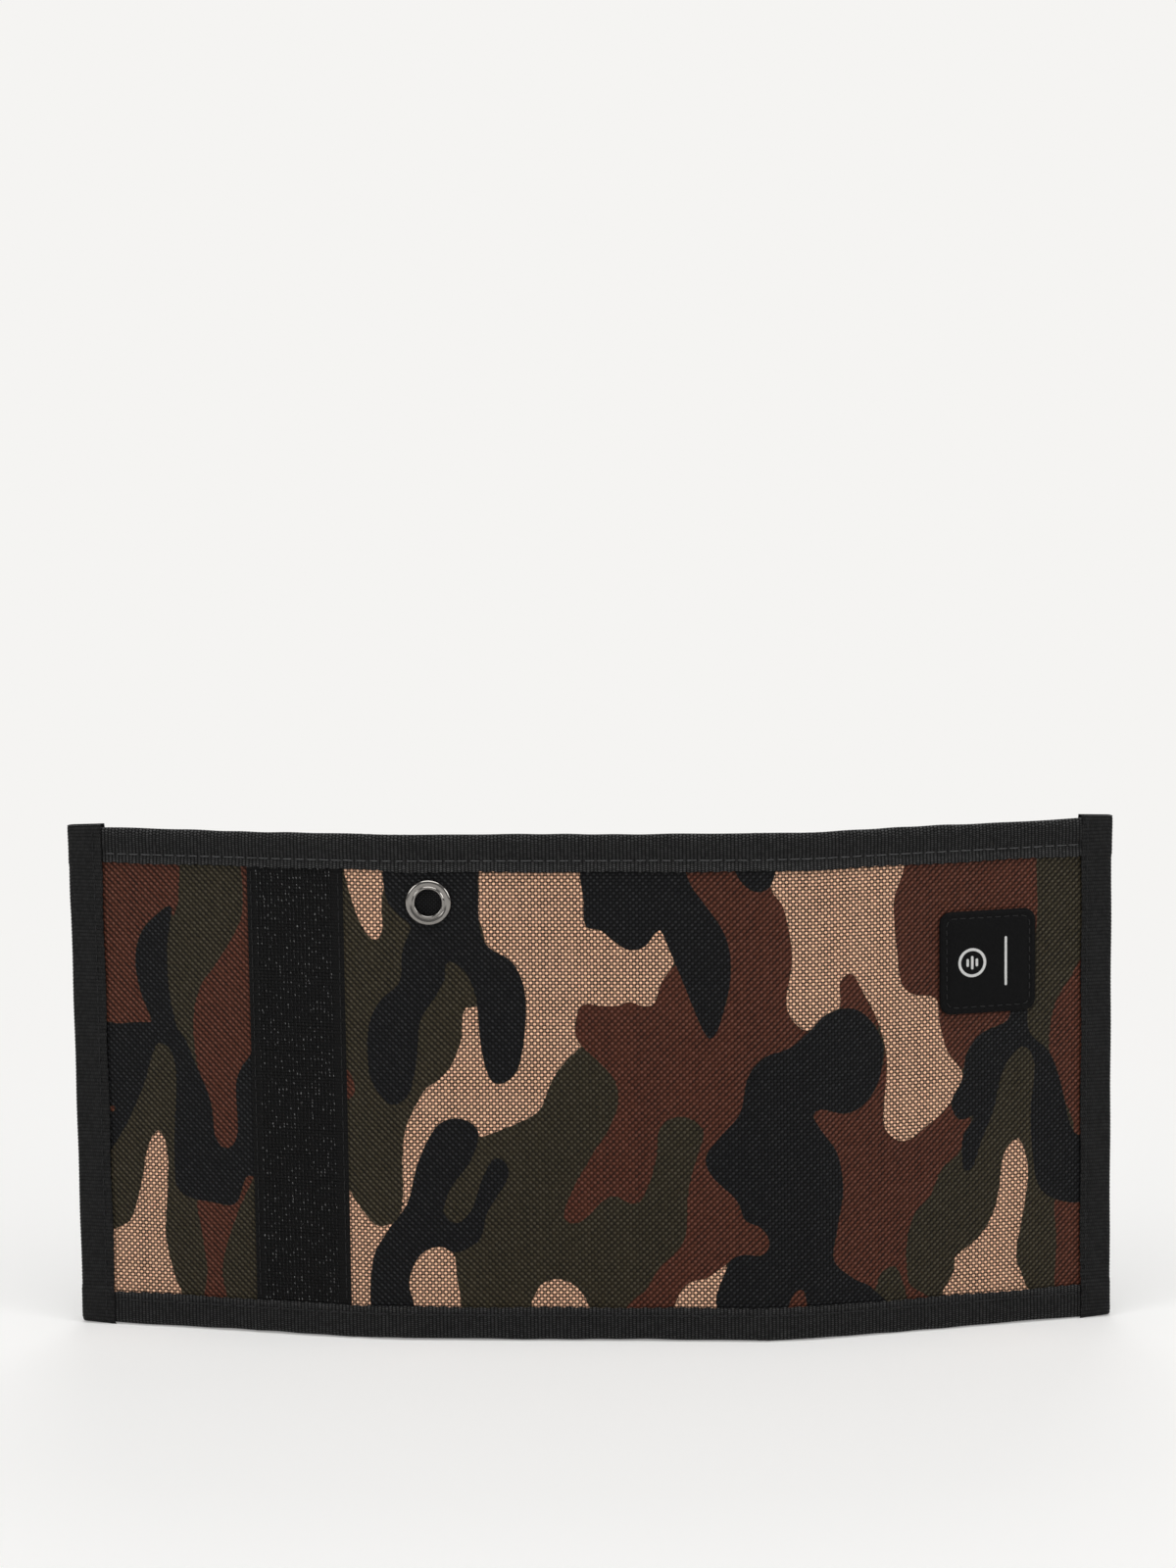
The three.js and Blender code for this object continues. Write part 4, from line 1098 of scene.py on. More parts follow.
# ---- Flat tapes -----------------------------------------------------------------------------------
def rounded_edge(t, span, soft):
    """1 in the middle of a strip, falling off over a soft length at its edges; t runs over the span."""
    from_edge = np.clip(np.minimum(t - span[0], span[1] - t) / soft, 0, 1)
    return np.sqrt(np.clip(1 - (1 - from_edge) ** 2, 0, 1))


def add_tape(name, u_span, z_span, near, far, material, carrier, stands_for=(),
             lengthwise="u", rib=0.0, rib_step=RIB_STEP, cross_step=0.9, relief=None):
    """A flat strip of tape. near is the depth of its back and far that of its face, which may have ribs
    across its length and a relief given as a function of u and z."""
    u_step, z_step = (rib_step, cross_step) if lengthwise == "u" else (cross_step, rib_step)
    u, z = np.meshgrid(steps(*u_span, u_step), steps(*z_span, z_step), indexing="ij")
    face = math.copysign(1, far - near)
    along, across = (u, z) if lengthwise == "u" else (z, u)
    edge = rounded_edge(across, z_span if lengthwise == "u" else u_span, 0.5)
    lift = (abs(far - near) - rib) * (0.45 + 0.55 * edge) + rib * ribs(along) * edge
    if relief:
        lift = lift + relief(u, z)
    face_side = np.stack([u, near + face * lift, z], -1)
    back_side = np.stack([u, np.full_like(u, near), z], -1)
    cloth = np.stack([along, across, np.zeros_like(u)], -1)
    grids = (face_side, back_side) if face < 0 else (back_side, face_side)
    mesh = slab_mesh(name, *grids, cloth)
    add_piece(name, mesh, material, carrier, stands_for)


# ---- Hook tape ------------------------------------------------------------------------------------
SELVEDGE = 2.3  # plain woven edge on each side of the hooks, in millimetres
HOOK_ROW = 0.8
HOOK_SPACING = 0.95
HOOK_WIRE_RADIUS = 0.085
HOOK_BASE_THICKNESS = 0.45
TUCK = 1.4  # how far the hook tape runs under the bindings


def hook_loops(u, z, reach, lean):
    """Thin bent wires standing on the tape at u and z, leaning along it."""
    base = SHELL.outer - HOOK_BASE_THICKNESS
    t = np.linspace(0, 1, 6)
    height = reach[:, None] * np.sin(t * 2.2)
    bend = 0.42 * (1 - np.cos(t * 2.4)) * lean[:, None]
    sway_off = 0.12 * np.sin(t * 3) * lean[:, None]
    paths = np.stack([u[:, None] + sway_off, base + 0.1 - height, z[:, None] + bend], -1)
    return tube_loops(paths, HOOK_WIRE_RADIUS, 4, upright=(1, 0, 0))


def add_hook_base():
    box = HOOK_TAPE
    z_span = (BOTTOM_BINDING.z1 - TUCK, TOP_BINDING.z0 + TUCK)

    def rows(u, z):
        field = window(u, box.u0 + SELVEDGE, box.u1 - SELVEDGE, 0.3)
        return field * (0.06 + 0.1 * np.abs(np.sin(z * math.pi / HOOK_ROW)))

    add_tape("hook_tape", (box.u0, box.u1), z_span, SHELL.outer, SHELL.outer - HOOK_BASE_THICKNESS,
             HOOK_BASE, "left_flap", ["hook_tape"], "z", 0.05, HOOK_ROW / 4, 0.6, rows)


def add_hooks():
    z = np.arange(BOTTOM_BINDING.z1 + 0.3, TOP_BINDING.z0 - 0.2, HOOK_ROW)
    u = np.arange(HOOK_TAPE.u0 + SELVEDGE + 0.4, HOOK_TAPE.u1 - SELVEDGE - 0.2, HOOK_SPACING)
    u, z = (grid.ravel() for grid in np.meshgrid(u, z, indexing="ij"))
    count = len(u)
    u = u + rng.normal(0, 0.05, count)
    z = z + rng.normal(0, 0.03, count)
    reach = np.clip(rng.normal(0.47, 0.03, count), 0.3, 0.52)
    lean = np.where(rng.random(count) < 0.8, 1.0, -1.0) * rng.uniform(0.7, 1.0, count)
    loops = hook_loops(u, z, reach, lean)
    up = np.linspace(0, 1, loops.shape[1])
    chance = rng.random(count)[:, None, None]
    cloth = np.stack(np.broadcast_arrays(loops[..., 2], chance, up[:, None]), -1)
    mesh = merged("hook_filaments", loops, cloth, sharp_angle=80)
    add_piece(mesh.name, mesh, HOOK_WIRE, "left_flap")


def add_stray_fibres():
    """A few pale fibres caught in the hooks."""
    count = 9
    t = np.linspace(-1, 1, 8)
    angle = rng.uniform(0, math.pi, count)[:, None]
    size = rng.uniform(0.2, 0.6, count)[:, None]
    bend = rng.normal(0, 0.35, count)[:, None]
    u = rng.uniform(HOOK_TAPE.u0 + 5, HOOK_TAPE.u1 - 3, count)[:, None]
    z = rng.uniform(BOTTOM_BINDING.z1 + 4, TOP_BINDING.z0 - 4, count)[:, None]
    across = t * size
    side = bend * (1 - t ** 2)
    paths = np.stack([u + across * np.cos(angle) - side * np.sin(angle),
                      np.broadcast_to(HOOK_TAPE.outer + 0.1 + 0.08 * t ** 2, across.shape),
                      z + across * np.sin(angle) + side * np.cos(angle)], -1)
    mesh = merged("stray_fibres", tube_loops(paths, 0.022, 4), sharp_angle=80)
    add_piece(mesh.name, mesh, STRAY_FIBRE, "left_flap")


def add_hook_stitches():
    face = SHELL.outer - HOOK_BASE_THICKNESS
    sides = [stitch_paths(lambda s, u=u: (u, face, s), BOTTOM_BINDING.z1 + 0.8, TOP_BINDING.z0 - 0.8, -1)
             for u in (HOOK_TAPE.u0 + 1.1, HOOK_TAPE.u1 - 1.1)]
    add_stitches("hook_tape_stitches", np.concatenate(sides), "left_flap", 0.12, DARK_THREAD)


add_hook_base()
add_hooks()
add_stray_fibres()
add_hook_stitches()


# ---- Label ----------------------------------------------------------------------------------------
LABEL = Flat("label_patch")
LABEL_CORNER = 3.0
LABEL_STITCH_INSET = 1.7
CORNER_POINTS = 10


def rounded_rectangle(half_u, half_z, corner, count=CORNER_POINTS):
    """Points anticlockwise round a rectangle with round corners, starting beside its lower left one."""
    corner = min(corner, half_u, half_z)
    turn = np.linspace(0, math.pi / 2, count)
    points = []
    for quarter, (su, sz) in enumerate(((1, -1), (1, 1), (-1, 1), (-1, -1))):
        angle = turn + (quarter - 1) * math.pi / 2
        points += list(zip(su * (half_u - corner) + corner * np.cos(angle),
                           sz * (half_z - corner) + corner * np.sin(angle)))
    return np.array(points)


def plate_loops(outline, profile, u, z):
    """Loops of a plate; its profile is a list of (inset, depth), and outline(inset) gives each loop."""
    return np.array([[[u + a, depth, z + b] for a, b in outline(inset)] for inset, depth in profile])


def add_label():
    half_u, half_z = LABEL.width / 2, LABEL.height / 2

    def outline(inset):
        return rounded_rectangle(half_u - inset, half_z - inset, max(LABEL_CORNER - inset, 0.3))

    back, face = SHELL.outer, LABEL.outer + 0.25
    inner = LABEL_STITCH_INSET
    profile = [(0.1, back), (0.0, back - 0.15), (0.0, face + 0.35), (0.12, face + 0.15), (0.4, face),
               (0.9, face - 0.03), (inner - 0.35, face + 0.02), (inner, face + 0.1),
               (inner + 0.4, face + 0.02),
               (inner + 1.1, face - 0.06), (4, face - 0.1), (6, face - 0.1), (8, face - 0.09),
               (10, face - 0.09), (11.8, face - 0.08)]
    loops = plate_loops(outline, profile, LABEL.u, LABEL.z)
    mesh = merged("label_patch", loops[None], sharp_angle=70)
    add_piece("label_patch", mesh, LEATHER, "right_flap", ["label_patch"])
    track = rounded_rectangle(half_u - inner, half_z - inner, LABEL_CORNER - 1, 24)
    track = np.concatenate([track, track[:1]])
    length = np.concatenate([[0], np.cumsum(np.hypot(*np.diff(track, axis=0).T))])

    def line(s):
        return (LABEL.u + np.interp(s, length, track[:, 0]), face + 0.05,
                LABEL.z + np.interp(s, length, track[:, 1]))

    paths = stitch_paths(line, 0, length[-1], -1, 2.3, 1.5)
    add_stitches("label_stitches", paths, "right_flap", 0.14, DARK_THREAD)
    add_label_mark(face - 0.1)


MARK_LIFT = 0.035  # how far the ink stands above the leather
MARK_RING, MARK_RING_WIDTH, MARK_BAR_HALF = 3.3, 0.7, 0.32


def band_loops(radius, width, face, u, z, count=48):
    """A flat ring of ink about an axis along the depth."""
    section = [(-width / 2, 0.02), (-width / 2, -MARK_LIFT), (width / 2, -MARK_LIFT), (width / 2, 0.02)]
    angle = np.arange(count) * 2 * math.pi / count
    return np.array([[[u + (radius + r) * math.cos(a), face + d, z + (radius + r) * math.sin(a)]
                      for r, d in section] for a in angle])


def bar_loops(half_z, face, u, z):
    """An upright bar of ink with round ends."""
    outline = rounded_rectangle(MARK_BAR_HALF, half_z, 0.3, 4)
    return np.array([[[u + a, face + d, z + b] for a, b in outline] for d in (0.02, -MARK_LIFT)])


def add_label_mark(face):
    """A plain ring round three bars, and a plain upright line: a mark that stands for no maker."""
    u, z = LABEL.u - 4.2, LABEL.z
    ring = merged("label_mark_ring", band_loops(MARK_RING, MARK_RING_WIDTH, face, u, z)[None], ring=True)
    add_piece(ring.name, ring, WHITE_INK, "right_flap")
    bars = [bar_loops(half, face, u + shift, z) for shift, half in ((-1.2, 1.0), (0, 1.7), (1.2, 1.0))]
    bars.append(bar_loops(6.2, face, LABEL.u + 4.6, z))
    mesh = merged("label_mark_bars", np.array(bars))
    add_piece(mesh.name, mesh, WHITE_INK, "right_flap")


add_label()


# ---- Eyelet ---------------------------------------------------------------------------------------
def lathe(name, profile, box, sides=96):
    """A ring about an axis along the depth, from a closed profile of (radius, depth) points."""
    angle = np.arange(sides) * 2 * math.pi / sides
    radius, depth = np.array(profile).T
    u, z = box.u + radius * np.cos(angle)[:, None], box.z + radius * np.sin(angle)[:, None]
    loops = np.stack([u, np.broadcast_to(depth, u.shape), z], -1)
    return merged(name, loops[None], ring=True, sharp_angle=60)


def add_eyelet():
    rim, front, back = EYELET.width / 2, EYELET.outer, EYELET.inner
    hole = rim - 2.43
    flange_back = SHELL.outer
    flange = [(hole, back - 0.3), (hole, front + 0.75), (hole + 0.04, front + 0.4),
              (hole + 0.14, front + 0.14),
              (hole + 0.32, front + 0.01), (hole + 0.5, front), (hole + 0.66, front + 0.07),
              (hole + 0.78, front + 0.22), (hole + 0.86, front + 0.28), (hole + 0.98, front + 0.24),
              (rim - 1.1, front + 0.06), (rim - 0.75, front + 0.03), (rim - 0.42, front + 0.1),
              (rim - 0.16, front + 0.26), (rim - 0.03, front + 0.48), (rim, front + 0.7),
              (rim - 0.1, flange_back - 0.02), (rim - 0.5, flange_back), (hole + 0.4, flange_back + 0.05),
              (hole + 0.35, back - 0.3), (hole + 0.75, back - 0.12), (hole + 0.7, back),
              (hole + 0.25, back - 0.06)]
    washer_box = Flat("eyelet_washer")
    outer, near, far = washer_box.width / 2, washer_box.outer, washer_box.inner
    inner = outer - 1.4
    washer = [(inner, near), (inner, far - 0.1), (inner + 0.12, far), (inner + 0.5, far + 0.02),
              (outer - 0.5, far), (outer - 0.15, far - 0.08), (outer, far - 0.25), (outer, near)]
    add_piece("eyelet_flange", lathe("eyelet_flange", flange, EYELET), NICKEL, "center_panel",
              ["eyelet_flange"])
    add_piece("eyelet_washer", lathe("eyelet_washer", washer, washer_box), NICKEL, "center_panel",
              ["eyelet_washer"])


add_eyelet()


# ---- Card pockets ---------------------------------------------------------------------------------
TRIM_STITCH = 1.3  # from the trim's lower edge up to its stitching


def add_card_pocket(name):
    pocket, trim = Flat(f"card_pocket_{name}"), Flat(f"card_pocket_{name}_trim")
    add_sheet(f"card_pocket_{name}", (pocket.u0, pocket.u1), (pocket.z0, pocket.z1 - 0.3), pocket,
              "center_panel", [f"card_pocket_{name}"], POCKET)

    def slack(u, z):
        return 0.03 * np.sin(u / 3.3) + stitch_dent(z, trim.z0 + TRIM_STITCH, u, 0.08)

    add_tape(f"card_pocket_{name}_trim", (trim.u0, trim.u1), (trim.z0, trim.z1), pocket.inner,
             trim.inner - 0.05, TRIM, "center_panel", [f"card_pocket_{name}_trim"],
             rib=0.07, relief=slack)
    add_fine_stitches(f"card_pocket_{name}_stitches",
                      lambda s: (s, trim.inner - 0.1, trim.z0 + TRIM_STITCH),
                      trim.u0 + 0.5, trim.u1 - 0.5, "center_panel")


for pocket_name in ("back", "middle", "front"):
    add_card_pocket(pocket_name)


# ---- Coin pocket and zip --------------------------------------------------------------------------
COIL_PITCH = 1.1
COIL_WIRE = 0.26
COIL_POINTS = 14  # in each turn of a coil
HEM = 2.2  # from a coin panel's edge beside the zip to its stitching
ZIP_Z = (Flat("zip_coil_upper").z + Flat("zip_coil_lower").z) / 2


def add_coin_panel(name, edge_side):
    """One side of the coin pocket, with its edge turned under beside the zip."""
    box = Flat(name)
    edge = box.z0 if edge_side > 0 else box.z1
    u, z = np.meshgrid(steps(box.u0, box.u1, 1.2), steps(box.z0, box.z1, 0.7), indexing="ij")
    from_edge = np.abs(z - edge)
    hem = 1 - smooth(from_edge, HEM + 0.8, HEM + 1.6)
    roll = np.sqrt(np.clip(from_edge / 0.5, 0, 1))
    dent = stitch_dent(from_edge, HEM, u, 0.1)
    wave = lining_ripple(u, z, 0.05)
    thick = box.inner - box.outer
    face = box.inner - 0.12 + 0.12 * hem + dent + np.minimum(wave, 0.05)
    front = np.stack([u, box.outer + 0.2 * thick * (1 - roll) + np.minimum(wave, 0), z], -1)
    back = np.stack([u, face - 0.4 * thick * (1 - roll), z], -1)
    cloth = np.stack([u, z, np.zeros_like(u)], -1)
    mesh = slab_mesh(name, front, back, cloth)
    add_piece(name, mesh, POCKET, "left_flap", [name])
    add_fine_stitches(f"{name}_stitches", lambda s: (s, box.inner - 0.08, edge + edge_side * HEM),
                      box.u0 + 1, box.u1 - 1, "left_flap")


def add_zip_side(name, side):
    tape, coil = Flat(f"zip_tape_{name}"), Flat(f"zip_coil_{name}")
    add_tape(f"zip_tape_{name}", (tape.u0, tape.u1), (tape.z0, tape.z1), tape.outer, tape.inner, ZIP_TAPE,
             "left_flap", [f"zip_tape_{name}"], "u", 0.0, 1.4, 0.6)
    turns = int((coil.width - 1) / COIL_PITCH)
    t = np.arange(turns * COIL_POINTS + 1) / COIL_POINTS
    angle = 2 * math.pi * t
    half_depth, half_height = (coil.inner - coil.outer) / 2 - COIL_WIRE, coil.height / 2 - 0.14
    bend = 0.22 * np.cos(angle) * COIL_PITCH
    path = np.stack([coil.u0 + 0.5 + COIL_PITCH * t + bend, coil.depth + half_depth * np.sin(angle),
                     coil.z - side * half_height * np.cos(angle) - side * 0.1], -1)
    head = 1 + 0.22 * np.clip(np.cos(angle), 0, 1) ** 4
    loops = tube_loops(path[None], COIL_WIRE * head[None], 6, (1, 0, 0))
    mesh = merged(f"zip_coil_{name}", loops, sharp_angle=80)
    add_piece(mesh.name, mesh, ZIP_COIL, "left_flap", [f"zip_coil_{name}"])
    row = coil.z + side * 0.45
    paths = stitch_paths(lambda s: (s, coil.inner - 0.14, row), coil.u0 + 1, coil.u1 - 1, 1, 1.1, 0.9)
    add_stitches(f"zip_coil_{name}_stitches", paths, "left_flap", 0.08)


def half_width_outline(stations):
    """An outline, symmetric about the zip's line, from (along, half height) stations."""
    along, half = np.array(stations, float).T
    return np.concatenate([np.stack([along, half], -1), np.stack([along, -half], -1)[::-1]])


def bevelled_plate(stations, low, high, bevel, u):
    """Loops of a plate between two depths, with bevelled rims, about u on the zip's line."""
    outline = half_width_outline(stations)
    middle = outline.mean(0)
    size = np.abs(outline - middle).max(0)
    loops = []
    for depth, inset in ((low, bevel), (low + bevel, 0), (high - bevel, 0), (high, bevel)):
        points = middle + (outline - middle) * (1 - inset / size)
        loops.append([[u + a, depth, ZIP_Z + b] for a, b in points])
    return np.array(loops)


def add_zip_metal(name, loops, carrier, stands_for=(), sharp_angle=40, ring=False):
    mesh = merged(name, loops, ring=ring, sharp_angle=sharp_angle)
    add_piece(name, mesh, ZIP_METAL, carrier, stands_for)


def add_zip_stop(name):
    box = Flat(name)
    stations = [(-1.0, 1.2), (-0.8, 1.6), (-0.3, 1.8), (0.3, 1.8), (0.8, 1.6), (1.0, 1.2)]
    loops = bevelled_plate(stations, box.outer - 0.35, box.inner - 0.1, 0.14, box.u)
    add_zip_metal(name, loops[None], "left_flap", [name])


def add_slider():
    box = Flat("zip_slider_body")
    coil = Flat("zip_coil_upper")
    reach, half = box.width / 2, box.height / 2
    plate = [(-reach, 0.7 * half), (-reach + 0.5, 0.92 * half), (-reach + 1.4, half), (-0.5, 0.99 * half),
             (1.2, 0.9 * half), (reach - 1.2, 0.78 * half), (reach - 0.4, 0.66 * half), (reach, 0.45 * half)]
    face = coil.inner + 0.25
    top = face + 0.45
    parts = [bevelled_plate(plate, face, top, 0.13, box.u),
             bevelled_plate(plate, box.outer, box.outer + 0.4, 0.12, box.u)]
    add_zip_metal("zip_slider_body", np.array(parts), "zip_slider", ["zip_slider_body"], 35)
    post = bevelled_plate([(-reach + 0.6, 0.13), (-reach + 0.9, 0.15), (-1.2, 0.15), (-0.8, 0.1)],
                          box.outer + 0.3, face + 0.1, 0.05, box.u)
    add_zip_metal("zip_slider_post", post[None], "zip_slider", sharp_angle=50)
    add_slider_flanges(box, plate, coil.outer + 0.2, top - 0.1)
    add_slider_bridge(box, top)


def add_slider_flanges(box, plate, low, high):
    """Curved walls along both edges of the slider, which hold the coils together."""
    stations = np.array(plate)[1:-1]
    section = [(0.0, low), (-0.45, low), (-0.55, low + 0.1), (-0.55, high), (-0.1, high), (0.0, high - 0.1)]
    walls = []
    for side in (-1, 1):
        walls.append([[[box.u + a, depth, ZIP_Z + side * (half + inward)] for inward, depth in section]
                      for a, half in stations])
    add_zip_metal("zip_slider_flanges", np.array([walls[0], walls[1][::-1]]), "zip_slider")


def add_slider_bridge(box, top):
    """The arch that holds the pull tab."""
    t = np.linspace(0, math.pi, 15)
    reach, rise = 1.45, box.inner - 0.28 - top
    path = np.stack([box.u - reach * np.sign(np.cos(t)) * np.abs(np.cos(t)) ** 0.5,
                     top - 0.1 + (rise + 0.1) * np.sin(t) ** 0.5, np.full_like(t, ZIP_Z)], -1)
    loops = tube_loops(path[None], 0.34, 8, (0, 0, 1))
    loops[..., 2] = ZIP_Z + (loops[..., 2] - ZIP_Z) * 1.45
    centre = path[None, :, None, :2]
    loops[..., :2] = centre + (loops[..., :2] - centre) * 0.75
    add_zip_metal("zip_slider_bridge", loops, "zip_slider", sharp_angle=60)


def tab_ring(outer, inner, depth, lift):
    """Points across a flat ring's section at one place: outer rim, face, hole and back, with bevels."""
    bevel = 0.1
    way = (inner - outer) / (np.linalg.norm(inner - outer) + 1e-9)
    rim, lip = outer + way * bevel, inner - way * bevel
    near, far = depth - lift, depth + lift
    section = [(outer, near + bevel), (rim, near), (lip, near), (inner, near + bevel), (inner, far - bevel),
               (lip, far), (rim, far), (outer, far - bevel)]
    return [[a, d, b] for (a, b), d in section]


def signed_power(x, power):
    return np.sign(x) * np.abs(x) ** power


def add_pull_tab():
    """A flat tab with an eye for the bridge and a waist."""
    box = Flat("zip_pull_tab")
    count = 48
    angle = (np.arange(count) + 0.5) * 2 * math.pi / count
    cos, sin = np.cos(angle), np.sin(angle)
    eye_u = box.u0 + 0.3 + 1.6
    hole = np.stack([eye_u + 1.4 * cos, ZIP_Z + 0.92 * signed_power(sin, 0.5)], -1)
    squareness = 0.35
    middle, reach = np.array([box.u, ZIP_Z]), np.array([box.width / 2, box.height / 2])
    outline = middle + reach * np.stack([signed_power(cos, squareness), signed_power(sin, squareness)], -1)
    waist = 1 - 0.2 * np.exp(-((outline[:, 0] - eye_u - 3.4) / 1.6) ** 2)
    outline[:, 1] = ZIP_Z + (outline[:, 1] - ZIP_Z) * waist
    lift = (box.inner - box.outer) / 2
    loops = np.array([tab_ring(o, h, box.depth, lift) for o, h in zip(outline, hole)])
    add_zip_metal("zip_pull_tab", loops[None], "zip_pull", ["zip_pull_tab"], 35, ring=True)


def add_tab_grip():
    """Three raised bars across the tab's end."""
    box = Flat("zip_pull_tab")
    bar = [(-0.35, 1.0), (-0.25, 1.2), (0.25, 1.2), (0.35, 1.0)]
    bars = [bevelled_plate(bar, box.inner - 0.1, box.inner + 0.16, 0.08, box.u1 - 2.0 - 1.4 * k)
            for k in range(3)]
    add_zip_metal("zip_pull_grip", np.array(bars), "zip_pull")


add_coin_panel("coin_pocket_lower_panel", -1)
add_coin_panel("coin_pocket_upper_panel", 1)
add_zip_side("upper", 1)
add_zip_side("lower", -1)
add_zip_stop("zip_stop_closed")
add_zip_stop("zip_stop_open")
add_slider()
add_pull_tab()
add_tab_grip()


# ---- Right flap's inside --------------------------------------------------------------------------
PILE_COUNT = 5200
SLIP_HEM = 5.0  # width of the tape along the slip pocket's opening
LOOP_MARGIN = 0.8  # from the loop tape's edges to its stitching


def add_slip_pocket():
    box = Flat("slip_pocket")
    add_sheet("slip_pocket", (box.u0, box.u1), (box.z0, box.z1 - 0.2), box, "right_flap", ["slip_pocket"],
              POCKET)
    hem_foot = box.z1 - SLIP_HEM
    stitch_z = hem_foot + 1.0

    def slack(u, z):
        return stitch_dent(z, stitch_z, u, 0.05)

    loop_start = Flat("loop_tape").u0
    add_tape("slip_pocket_hem", (box.u0, loop_start - 0.3), (hem_foot, box.z1), box.inner, box.inner + 0.3,
             TRIM, "right_flap", rib=0.06, relief=slack)
    add_fine_stitches("slip_pocket_stitches", lambda s: (s, box.inner + 0.25, stitch_z), box.u0 + 0.5,
                      loop_start - 0.8, "right_flap")


def add_loop_tape():
    """Woven tape with a brushed pile of small loops."""
    box = Flat("loop_tape")
    base = box.outer + 0.3
    add_tape("loop_tape", (box.u0, box.u1), (box.z0, box.z1), box.outer, base, LOOP_BASE,
             "right_flap", ["loop_tape"], "z", 0.03, 0.5, 0.8)
    margin = 1.6
    u = rng.uniform(box.u0 + margin, box.u1 - margin, PILE_COUNT)[:, None]
    z = rng.uniform(box.z0 + 0.6, box.z1 - 0.6, PILE_COUNT)[:, None]
    turn = rng.uniform(0, 2 * math.pi, PILE_COUNT)[:, None]
    wide = rng.uniform(0.3, 0.75, PILE_COUNT)[:, None]
    tall = rng.uniform(0.22, 0.42, PILE_COUNT)[:, None]
    t = np.linspace(0, math.pi, 7)
    run = -np.cos(t) * wide
    lean = 0.35 * np.sin(t) * rng.normal(0, 1, (PILE_COUNT, 1))
    paths = np.stack([u + run * np.cos(turn) - lean * np.sin(turn), base - 0.05 + tall * np.sin(t),
                      z + run * np.sin(turn) + lean * np.cos(turn)], -1)
    mesh = merged("loop_pile", tube_loops(paths, 0.05, 4, (0.3, 0.2, 0.9)), sharp_angle=80)
    add_piece(mesh.name, mesh, LOOP_PILE, "right_flap")
    fine = (1, FINE_PITCH, FINE_LENGTH)
    edges = [stitch_paths(lambda s, at=at: (at, base, s), box.z0 + LOOP_MARGIN, box.z1 - LOOP_MARGIN, *fine)
             for at in (box.u0 + LOOP_MARGIN, box.u1 - LOOP_MARGIN)]
    edges.append(stitch_paths(lambda s: (s, base, box.z1 - LOOP_MARGIN), box.u0 + 1, box.u1 - 1, *fine))
    add_stitches("loop_tape_stitches", np.concatenate(edges), "right_flap", FINE_RADIUS)


add_slip_pocket()
add_loop_tape()


# ---- Stage, light and camera ----------------------------------------------------------------------
BACKDROP = srgb(245, 244, 242)
FLOOR_SIZE = 30.0  # metres
FLOOR_COLOR = (0.86, 0.855, 0.845, 1)
FLOOR_LIFT = 0.27  # how strongly the seen floor glows, beside what the lamps give it
FLOOR_FADE = (0.12, 0.65)  # from the middle of the wallet, in metres
CAMERA_AT = (0.0717, -0.996, 0.2775)  # metres
CAMERA_YAW, CAMERA_PITCH, CAMERA_ROLL = -3.98, -7.83, -0.78  # degrees
CAMERA_LENS = 94.4  # millimetres
AMBIENT = 0.22


def floor_material():
    """Pale floor that turns into the backdrop a little way off. What the camera sees of it is lifted, but
    the light that it throws on the wallet isn't."""
    material = bpy.data.materials.new("floor")
    material.use_nodes = True
    n = Nodes(material.node_tree)
    seen = n.node("ShaderNodeLightPath").outputs["Is Camera Ray"]
    place_on_floor = n.node("ShaderNodeTexCoord").outputs["Object"]
    distance = n.node("ShaderNodeVectorMath", {"operation": "LENGTH"}, Vector=place_on_floor)
    fade = n.step(distance.outputs["Value"], *FLOOR_FADE)
    matt = n.node("ShaderNodeBsdfDiffuse", Color=FLOOR_COLOR).outputs[0]
    lift = n.node("ShaderNodeEmission", Color=BACKDROP, Strength=n.times(seen, FLOOR_LIFT)).outputs[0]
    glow = n.node("ShaderNodeEmission", Color=BACKDROP).outputs[0]
    lifted = n.apply("ShaderNodeAddShader", (matt, lift))
    surface = n.apply("ShaderNodeMixShader", (n.times(fade, seen), lifted, glow))
    n.feed(n.tree.nodes["Material Output"].inputs["Surface"], surface)
    return material


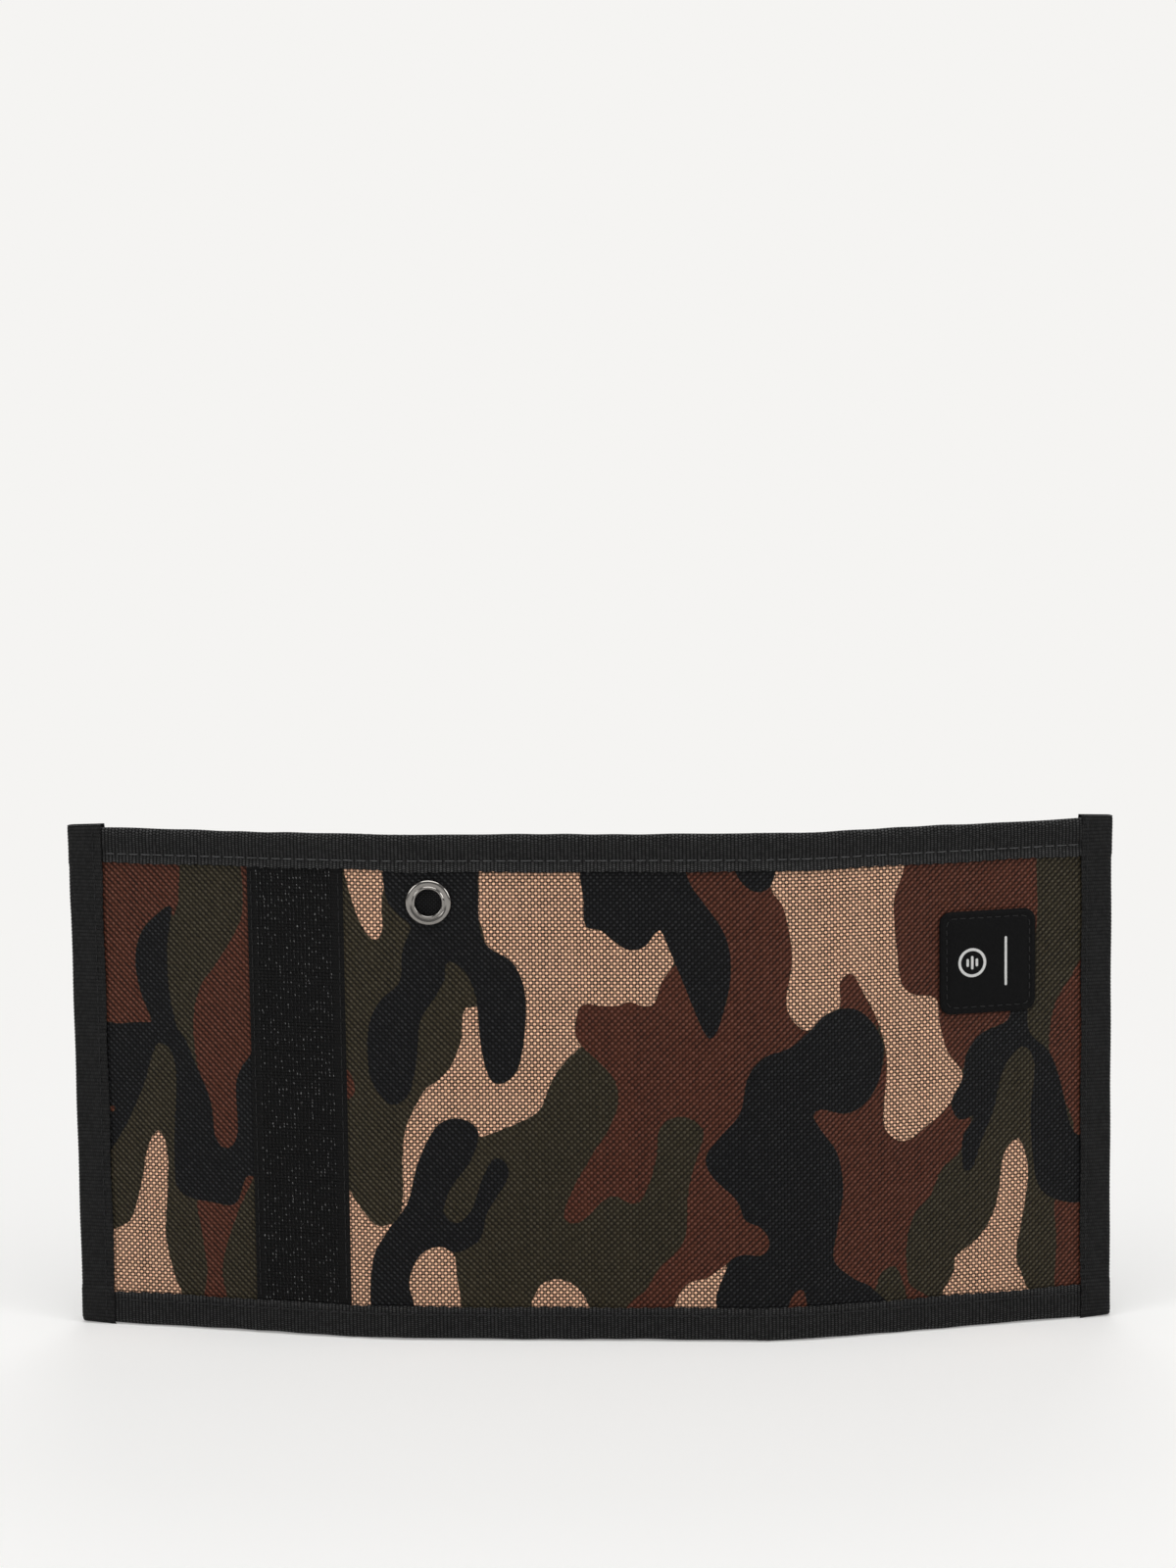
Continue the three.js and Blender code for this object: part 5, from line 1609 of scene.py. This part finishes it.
def add_floor():
    mesh = bpy.data.meshes.new("floor")
    half = FLOOR_SIZE / 2
    corners = [(-half, -half, 0), (half, -half, 0), (half, half, 0), (-half, half, 0)]
    mesh.from_pydata(corners, [], [(0, 1, 2, 3)])
    mesh.materials.append(floor_material())
    floor = bpy.data.objects.new("floor", mesh)
    bpy.context.scene.collection.objects.link(floor)


def add_world(ambient):
    """The backdrop's colour behind everything, and a dimmer white light on the object."""
    world = bpy.data.worlds.new("studio")
    bpy.context.scene.world = world
    world.use_nodes = True
    n = Nodes(world.node_tree)
    shown = n.tree.nodes["Background"]
    shown.inputs["Color"].default_value = BACKDROP
    light = n.node("ShaderNodeBackground", Color=(1, 1, 1, 1), Strength=ambient).outputs[0]
    seen = n.node("ShaderNodeLightPath").outputs["Is Camera Ray"]
    chosen = n.apply("ShaderNodeMixShader", (seen, light, shown.outputs[0]))
    n.feed(n.tree.nodes["World Output"].inputs["Surface"], chosen)


def add_light(name, at, aim, size, power):
    data = bpy.data.lights.new(name, "AREA")
    data.shape, data.size, data.energy = "DISK", size, power
    light = bpy.data.objects.new(name, data)
    bpy.context.scene.collection.objects.link(light)
    light.location = at
    way = (Vector(at) - Vector(aim)).normalized()
    light.rotation_mode = "QUATERNION"
    light.rotation_quaternion = way.to_track_quat("Z", "Y")


def add_camera():
    data = bpy.data.cameras.new("camera")
    data.lens = CAMERA_LENS
    camera = bpy.data.objects.new("camera", data)
    bpy.context.scene.collection.objects.link(camera)
    camera.location = CAMERA_AT
    camera.rotation_mode = "XYZ"
    yaw = Matrix.Rotation(math.radians(-CAMERA_YAW), 4, "Z")
    pitch = Matrix.Rotation(math.radians(90 + CAMERA_PITCH), 4, "X")
    roll = Matrix.Rotation(math.radians(CAMERA_ROLL), 4, "Z")
    camera.rotation_euler = (yaw @ pitch @ roll).to_euler()
    bpy.context.scene.camera = camera


add_floor()
add_world(AMBIENT)
add_light("top_light", (0.0, -0.5, 1.6), (0, 0, 0.0), 1.6, 13)
add_light("left_light", (-1.5, -1.2, 0.9), (0, 0, 0.06), 1.0, 6.8)
add_light("right_light", (1.6, -1.0, 0.8), (0, 0, 0.06), 1.0, 7.5)
add_light("back_light", (0.0, 1.6, 1.0), (0, 0, 0.06), 1.2, 8)
add_camera()
bpy.context.scene.view_settings.view_transform = "Standard"
